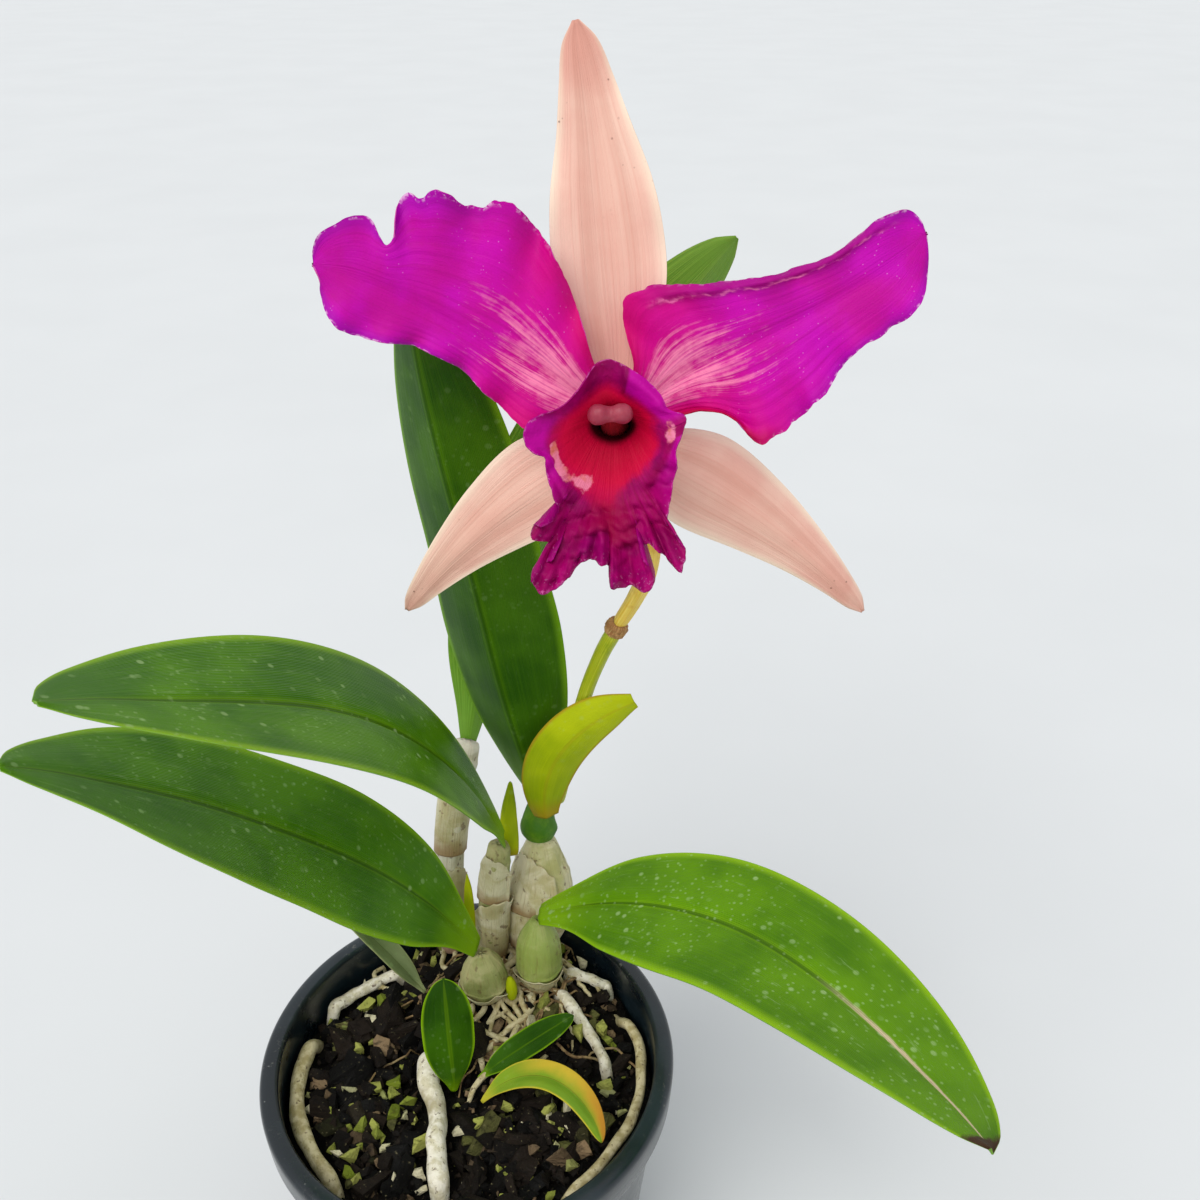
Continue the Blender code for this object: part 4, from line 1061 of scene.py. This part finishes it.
# margins of each petal in the flower's frame, from its base to its tip
LEFT_MIDRIB = [(-3.4, 5.0), (-12, 10.6), (-24, 17.2), (-36, 24.4), (-48, 30.8), (-56, 33.8), (-61.4, 35.2)]
LEFT_UPPER = [(-2.2, 6.6), (-3.6, 11.0), (-5.7, 16.5), (-7.2, 21.9), (-9.9, 29.8), (-13.0, 36.9),
              (-16.9, 42.6), (-20.1, 46.2), (-24.0, 47.6), (-27.2, 46.2), (-30.6, 46.4), (-33.8, 48.6),
              (-36.4, 49.1), (-39.1, 47.6), (-41.6, 48.9), (-43.7, 47.4), (-44.4, 43.9), (-44.8, 39.6),
              (-46.3, 38.4), (-47.8, 40.7), (-49.4, 43.8), (-52.4, 44.5), (-56.5, 42.8), (-59.7, 40.9),
              (-61.2, 38.0), (-61.4, 35.2)]
LEFT_LOWER = [(-4.0, 2.6), (-12.0, 0.6), (-20.0, 2.0), (-23.1, 4.4), (-27.1, 8.4), (-31.1, 12.5),
              (-36.5, 16.5), (-41.8, 19.0), (-47.2, 19.9), (-52.6, 20.9), (-56.5, 22.6), (-59.2, 25.9),
              (-60.5, 29.8), (-60.3, 32.6), (-61.4, 35.2)]
RIGHT_MIDRIB = [(3.0, 5.2), (13, 12.4), (25, 18.6), (37, 24.6), (49, 31.4), (56, 36.4), (60.4, 41.2)]
RIGHT_UPPER = [(1.6, 6.8), (2.6, 11.0), (2.8, 15.9), (1.1, 21.9), (0.5, 26.5), (1.9, 29.4), (5.7, 30.9),
               (11.0, 31.3), (19.1, 31.7), (27.1, 32.7), (35.0, 34.4), (41.5, 37.0), (46.6, 40.3),
               (50.3, 43.7), (53.5, 45.4), (56.8, 45.5), (59.0, 43.9), (60.4, 41.2)]
RIGHT_LOWER = [(3.8, 3.0), (8.0, 3.4), (13.0, 4.6), (17.4, 5.6), (21.3, 5.4), (24.6, 3.4), (27.0, 0.7),
               (29.1, -0.7), (32.6, 0.7), (36.6, 3.5), (40.5, 7.7), (44.4, 12.5), (48.1, 18.2),
               (54.0, 21.9), (58.4, 25.4), (61.2, 29.8), (61.5, 35.0), (60.4, 41.2)]


def petal(name, midrib, upper, lower, seed, folded=0.0, rows=220, columns=72):
    """A broad petal between two traced margins: soft pleats in it, crisp small frills at its edge."""
    t = np.linspace(0, 1, rows + 1)
    across = np.sin(np.linspace(-pi / 2, pi / 2, columns + 1))
    tt, ss = np.meshgrid(t, across, indexing="ij")
    edge_share = np.abs(ss)
    middle = run_along(midrib, t, 40)[:, None, :]
    sides = [(run_along(points, t), run_along(points, t, 260)) for points in (upper, lower)]
    margin = np.where((ss > 0)[..., None], sides[0][0][:, None], sides[1][0][:, None])
    calm = np.where((ss > 0)[..., None], sides[0][1][:, None], sides[1][1][:, None])
    reach = calm + (margin - calm) * (edge_share**5)[..., None]
    flat = middle + (reach - middle) * edge_share[..., None]
    inside = np.sin(pi * np.clip(tt, 0, 1))**0.5
    jag = wobble(seed + 7, tt * 95, np.sign(ss) * 3.0, octaves=3)
    flat = flat + (reach - middle) * (0.022 * jag * inside * edge_share**10)[..., None]
    half = np.linalg.norm(reach - middle, axis=2)
    far = np.linalg.norm(flat - flat[:1], axis=2)
    lift = 1.9 + 0.06 * far + 0.085 * edge_share**1.3 * half
    lift = lift - 0.7 * np.exp(-(ss * half / 1.8)**2) * soft(0, 0.1, tt) * soft(1.0, 0.6, tt)
    lift = lift + 0.8 * wobble(seed, flat[..., 0] / 7, flat[..., 1] / 7, octaves=2)
    phase = np.where(ss > 0, 1.1, 3.7) + seed
    lift = lift + 1.5 * inside * edge_share**2.2 * np.sin(2 * pi * 6.5 * tt + phase)
    quick = wobble(seed + 3, tt * 48, np.sign(ss) * 5.0, octaves=2)
    lift = lift + inside * (1.5 * edge_share**7 * quick)
    upper_side = np.clip(ss, 0, 1)
    crinkle = 0.83 + 0.05 * wobble(seed + 11, tt * 60, octaves=4)
    strip = soft(0.26, 0.34, tt) * soft(0.92, 0.8, tt) * folded
    lift = lift + strip * 1.5 * np.exp(-((upper_side - 0.9) / 0.07)**2)
    # the ridge mask raises the fold crest and also carries a painted highlight in the skin; the shade mask
    # carries painted shade beyond it
    ridge_and_highlight = strip * np.exp(-((upper_side - crinkle) / 0.022)**2)
    lift = lift + 0.3 * ridge_and_highlight
    shade = strip * soft(crinkle, crinkle + 0.03, upper_side)
    rolled = folded * soft(-0.86, -0.97, ss) * soft(0.05, 0.12, tt) * soft(0.42, 0.3, tt)
    lift = lift + 1.4 * rolled
    masks = np.stack([ridge_and_highlight, shade, rolled], -1)
    veins = np.sin(ss * 46 + 2.0 * wobble(seed + 9, tt * 4, ss * 6))
    lift = lift + 0.07 * veins * soft(1.0, 0.5, tt)
    grid = in_flower(np.concatenate([flat, lift[..., None]], -1))
    front_way = np.broadcast_to(np.array([0, 0, 1.0]) @ FLOWER_AXES, grid.shape)
    thickness = 0.8 * (1 - 0.7 * edge_share**3)
    uv = np.stack([tt, ss * 0.5 + 0.5], -1)
    return sheet(name, grid, thickness, uv, front_way, [PETAL, PETAL_BACK], [name],
                 masks)


petal("petal_left", LEFT_MIDRIB, LEFT_UPPER, LEFT_LOWER, 64)
petal("petal_right", RIGHT_MIDRIB, RIGHT_UPPER, RIGHT_LOWER, 65, folded=1.0)

# ------------------------------------------------------------------ lip, column and anther cap
# Rings of the lip, anticlockwise from the viewer's right: right, up, forward, angle round the throat.
LIP_MARGIN = [
    (12.7, 6.6, 21.5, 10), (12.2, 7.8, 20.5, 20), (9.2, 8.7, 19.5, 31), (8.1, 10.9, 19.2, 42),
    (5.9, 13.3, 18.6, 55), (2.6, 15.8, 17.4, 68), (-0.1, 17.2, 16.4, 81), (-2.9, 17.8, 15.8, 94),
    (-5.3, 16.6, 16.2, 106), (-7.2, 13.8, 16.8, 119), (-9.5, 10.8, 17.6, 133), (-12.2, 8.7, 19.0, 146),
    (-15.4, 7.8, 20.4, 157), (-17.9, 6.6, 21.4, 167), (-19.0, 4.5, 22.0, 176), (-18.7, 2.0, 22.0, 184),
    (-17.2, 0.4, 21.4, 191), (-15.0, -1.0, 20.6, 200), (-14.8, -3.5, 20.8, 208), (-13.9, -6.8, 21.4, 216),
    (-12.6, -9.8, 22.0, 223), (-12.6, -11.7, 22.6, 227), (-13.6, -12.7, 23.6, 229), (-15.5, -12.8, 25.2, 231),
    (-17.1, -13.5, 26.2, 232), (-17.6, -15.3, 26.6, 234), (-16.1, -16.4, 25.8, 236), (-14.6, -17.2, 24.8, 238),
    (-13.5, -18.5, 24.2, 239), (-13.4, -20.0, 24.2, 240), (-14.8, -21.0, 25.0, 241), (-16.7, -21.2, 26.2, 242),
    (-17.7, -23.0, 27.0, 243), (-17.4, -25.2, 27.6, 244), (-15.6, -26.4, 27.8, 246), (-13.4, -26.2, 27.4, 249),
    (-11.2, -24.5, 26.2, 251), (-9.5, -23.1, 25.2, 254), (-7.9, -21.6, 24.6, 258), (-5.6, -20.9, 24.2, 261),
    (-3.7, -21.0, 24.4, 264), (-2.4, -22.3, 25.0, 267), (-2.2, -23.9, 26.2, 269), (-1.7, -25.4, 27.0, 272),
    (-0.0, -26.2, 27.4, 275), (2.7, -25.7, 27.4, 278), (5.0, -25.6, 27.6, 281), (6.5, -24.4, 27.0, 283),
    (6.7, -22.9, 26.0, 285), (5.6, -21.7, 25.0, 286), (4.3, -20.2, 24.2, 287), (4.2, -18.6, 23.8, 288),
    (5.6, -17.9, 23.8, 290), (7.2, -18.2, 24.2, 292), (8.9, -19.6, 25.2, 294), (9.9, -21.0, 26.4, 296),
    (11.6, -21.6, 27.2, 298), (12.7, -20.1, 27.0, 300), (12.9, -18.4, 26.4, 301), (11.8, -17.3, 25.2, 302),
    (11.3, -15.8, 24.4, 303), (10.5, -14.6, 23.6, 304), (9.3, -13.9, 22.8, 306), (9.2, -12.3, 22.2, 310),
    (9.6, -9.9, 21.8, 316), (10.5, -6.2, 21.4, 325), (11.1, -2.5, 21.2, 336), (10.8, 0.5, 21.2, 348),
    (11.9, 3.7, 21.6, 359),
]
THROAT_EDGE = [
    (8.5, 4.1, 19.2, 7), (6.9, 6.6, 18.0, 23), (3.8, 8.8, 16.2, 45), (0.3, 10.8, 14.2, 76),
    (-2.9, 12.1, 13.4, 97), (-5.7, 10.6, 13.8, 115), (-8.5, 8.2, 15.2, 139), (-11.2, 5.7, 17.0, 162),
    (-12.8, 2.3, 18.2, 182), (-12.5, -0.6, 18.4, 197), (-10.9, -4.1, 18.0, 216), (-7.6, -6.4, 17.4, 237),
    (-4.6, -8.2, 17.2, 256), (-1.3, -9.0, 17.2, 272), (1.6, -7.4, 17.4, 287), (4.2, -4.6, 17.8, 309),
    (7.0, -1.6, 18.6, 333), (8.6, 1.4, 19.2, 351),
]


def round_ring(table, angles):
    """Closed smooth ring: its points looked up by their angle in degrees."""
    table = np.array(table, float)
    turn = np.array([0, 0, 0, 360.0])
    table = np.concatenate([table[-3:] - turn, table, table[:3] + turn])
    return np.stack([along(table[:, [3, k]], angles) for k in range(3)], -1)


def loft(rings, stations, places):
    """Smooth surface through rings of points standing at the given stations."""
    rings, stations = np.array(rings), np.array(stations)
    slopes = np.gradient(rings, stations, axis=0)
    k = np.clip(np.searchsorted(stations, places, side="right") - 1, 0, len(stations) - 2)
    step = (stations[k + 1] - stations[k])[:, None, None]
    s = (places[:, None, None] - stations[k][:, None, None]) / step
    return hermite(s, step, rings[k], rings[k + 1], slopes[k], slopes[k + 1])


def bump_at(values, centre, width):
    """A smooth hump, 1 at the centre."""
    return np.exp(-((values - centre) / width)**2)


def make_lip():
    """Trumpet round the column: a tent over the anther, side flanges, and a lobed, frilled apron."""
    edge = np.array(LIP_MARGIN, float)
    count, rows = 560, 80
    turn = np.array([0, 0, 0, 360.0])
    looped = np.concatenate([edge[-3:] - turn, edge, edge[:3] + turn])
    at = (np.arange(len(looped)) - 3) / len(edge)
    u = np.linspace(0, 1, count + 1)
    margin = np.stack([along(np.stack([at, looped[:, k]], -1), u) for k in range(4)], -1)
    degrees_round = margin[:, 3]
    angle = np.radians(degrees_round)
    margin = margin[:, :3]
    around = np.stack([np.cos(angle), np.sin(angle), 0 * angle], -1)
    foot = np.array([-0.6, 1.2, 3.4]) + 3.2 * around
    deep = np.array([-1.4, 4.6, 12.0]) + around * np.stack([4.4 + 0 * angle, 3.5 + 0 * angle, 0 * angle], -1)
    throat = round_ring(THROAT_EDGE, degrees_round)
    low = np.clip(-np.sin(angle), 0, 1)
    between = throat + (margin - throat) * 0.5
    panel = soft(20, 40, degrees_round) * soft(80, 70, degrees_round)
    between[:, 2] += 0.6 - 2.4 * low**2 + 1.6 * panel
    between[:, :2] += around[:, :2] * (0.8 * (1 - low))[:, None]
    out = np.linspace(0, 1, rows + 1)
    grid = loft([foot, deep, throat, between, margin], [0, 0.24, 0.5, 0.76, 1.0], out)
    out = out[:, None]
    uu = u[None, :] + 0 * out
    flat_angle = degrees_round[None, :] % 360 + 0 * out
    lower = low[None, :] + 0 * out
    zone = soft(0.5, 0.72, out)
    x, y, f = grid[..., 0], grid[..., 1], grid[..., 2]
    lumps = wobble(81, x * 0.9, y * 0.9, f * 0.5, octaves=3)
    rise = zone * lumps * (0.3 + 1.5 * lower)
    edge_share = soft(0.66, 1.0, out)
    curls = wobble(82, uu * 150, out * 2.0, octaves=2)
    rise = rise + edge_share**1.5 * curls * (0.4 + 2.3 * lower)
    tongue = bump_at(flat_angle, 259, 5) * soft(0.6, 0.72, out) * soft(0.95, 0.84, out)
    rise = rise + 1.8 * tongue
    crease = bump_at(flat_angle, 76, 2.2) * soft(0.5, 0.62, out) * soft(1.0, 0.86, out)
    rise = rise + 0.7 * crease
    grid[..., 2] += rise
    puckers = wobble(83, uu * 420, out * 4.0, octaves=2)
    spread = edge_share**3 * puckers * (0.08 + 0.22 * lower)
    grid[..., 0] += spread * np.cos(angle)
    grid[..., 1] += spread * np.sin(angle)
    grid[:, -1] = grid[:, 0]
    rag = wobble(84, x * 1.6, y * 1.6, octaves=3) * 0.35
    pale = bump_at(flat_angle, 194, 15) * bump_at(out, 0.535, 0.045)
    pale = pale + bump_at(flat_angle, 213, 13) * bump_at(out, 0.57, 0.075)
    pale = pale + 0.95 * bump_at(flat_angle, 238, 13) * bump_at(out, 0.5, 0.05)
    pale = pale + 0.9 * bump_at((flat_angle + 180) % 360, 186, 11) * bump_at(out, 0.62, 0.1)
    pale = np.clip(pale * (1 + rag), 0, 1)
    channel = bump_at(flat_angle, 268, 17) * soft(0.45, 0.6, out) * soft(0.86, 0.74, out)
    right_dark = bump_at(flat_angle, 318, 26) * soft(0.5, 0.6, out)
    channel = np.clip(channel + 0.25 * right_dark, 0, 1)
    violet = soft(74, 70, flat_angle) * soft(10, 24, flat_angle) * soft(0.5, 0.62, out)
    violet = violet + soft(150, 172, flat_angle) * soft(232, 210, flat_angle) * soft(0.54, 0.7, out)
    violet = violet + 0.8 * soft(300, 320, flat_angle) * soft(0.6, 0.8, out) + 0.5 * tongue
    violet = violet + 0.55 * soft(236, 240, flat_angle) * soft(0.82, 0.96, out) * (0.6 + 0.4 * curls)
    masks = np.stack([pale, channel, np.clip(violet, 0, 1)], -1)
    uv = np.stack([uu, out + 0 * uu], -1)
    thick = 0.8 - 0.5 * out + 0 * uu
    inward = np.stack([-np.cos(angle) + 0 * out, -np.sin(angle) + 0 * out, 1.2 + 0 * out + 0 * angle], -1)
    made = sheet("lip", in_flower(grid), thick, uv, inward @ FLOWER_AXES, [LIP, LIP_OUT], ["lip"],
                 masks)
    bm = bmesh.new()
    bm.from_mesh(made.data)
    bmesh.ops.remove_doubles(bm, verts=bm.verts, dist=0.000004)
    bm.to_mesh(made.data)
    bm.free()


make_lip()
limb("flower_hub", HUB, "pedicel_yellow",
     [(0.1, -0.4, -5.4), (0.0, 0.6, -2.0), (-0.2, 1.0, 1.0), (-0.4, 1.2, 4.4)],
     [2.8, 5.0, 6.4, 5.6, 3.4], rings=50, sides=48, seed=58, flower=True, replaced=False, ribs=6, rib=0.05)
limb("column", COLUMN, "column_pink", [(-0.4, 1.2, 1.6), (-1.2, 3.4, 8), (-2.0, 6.2, 14), (-2.1, 7.5, 17)],
     [3.2, 3.0, 2.2, 1.2], rings=40, sides=32, seed=71, flower=True)


def drooping(tt, aa, grow):
    """Flattens the lobes where they press on the column and lets them hang a little in front."""
    return grow * (1 + 0.1 * np.sin(aa)) * (1 + 0.05 * wobble(75, tt * 6, np.cos(aa) * 2))


limb("anther_cap", CAP, "column_pink",
     [(-6.3, 6.9, 17.2), (-4.2, 7.3, 18.2), (-2.1, 7.4, 18.1), (0.0, 7.5, 18.2), (2.1, 7.1, 17.2)],
     [0.9, 1.9, 2.0, 1.6, 1.55, 2.0, 1.9, 0.9], rings=80, sides=48, flatten=0.95, seed=72, flower=True,
     rough=0.015, shape=drooping)

# ------------------------------------------------------------------ stage
FLOOR_SIZE = 60
SKY_COLOUR = (0.94, 0.97, 1.0, 1)
SKY_STRENGTH = 0.72
SUN_STRENGTH = 1.95
SUN_SPREAD = 48
SUN_COLOUR = (1.0, 0.985, 0.96)
SUN_TOWARDS = (-0.42, -0.62, 0.85)
CAMERA_PLACE = (0.0359, -0.2208, 0.3676)
CAMERA_DOWN = 30.5
CAMERA_LENS = CAMERA_SENSOR = 36

ground = shader("pale_floor", 0.75, 0.2)
grain = noise(surface()[1], 6.0, 3.0)
dress(ground, blend(ramp(grain, 0.2, 0.8), (216, 218, 219), (219, 221, 222)))
bpy.ops.mesh.primitive_plane_add(size=FLOOR_SIZE)
floor = bpy.context.object
floor.name = "floor"
floor.data.materials.append(ground)

world = bpy.data.worlds.new("soft_sky")
bpy.context.scene.world = world
world.use_nodes = True
world.node_tree.nodes["Background"].inputs[0].default_value = SKY_COLOUR
world.node_tree.nodes["Background"].inputs[1].default_value = SKY_STRENGTH

lamp = bpy.data.lights.new("soft_key", "SUN")
lamp.energy = SUN_STRENGTH
lamp.angle = radians(SUN_SPREAD)
lamp.color = SUN_COLOUR
key = bpy.data.objects.new("soft_key", lamp)
bpy.context.scene.collection.objects.link(key)
key.rotation_euler = Vector(SUN_TOWARDS).to_track_quat("Z", "Y").to_euler()
bpy.context.scene.view_settings.view_transform = "Standard"

lens = bpy.data.cameras.new("photo_view")
camera = bpy.data.objects.new("photo_view", lens)
bpy.context.scene.collection.objects.link(camera)
camera.location = CAMERA_PLACE
camera.rotation_euler = (radians(90 - CAMERA_DOWN), 0, 0)
lens.lens = CAMERA_LENS
lens.sensor_width = CAMERA_SENSOR
lens.clip_start = 0.01
bpy.context.scene.camera = camera
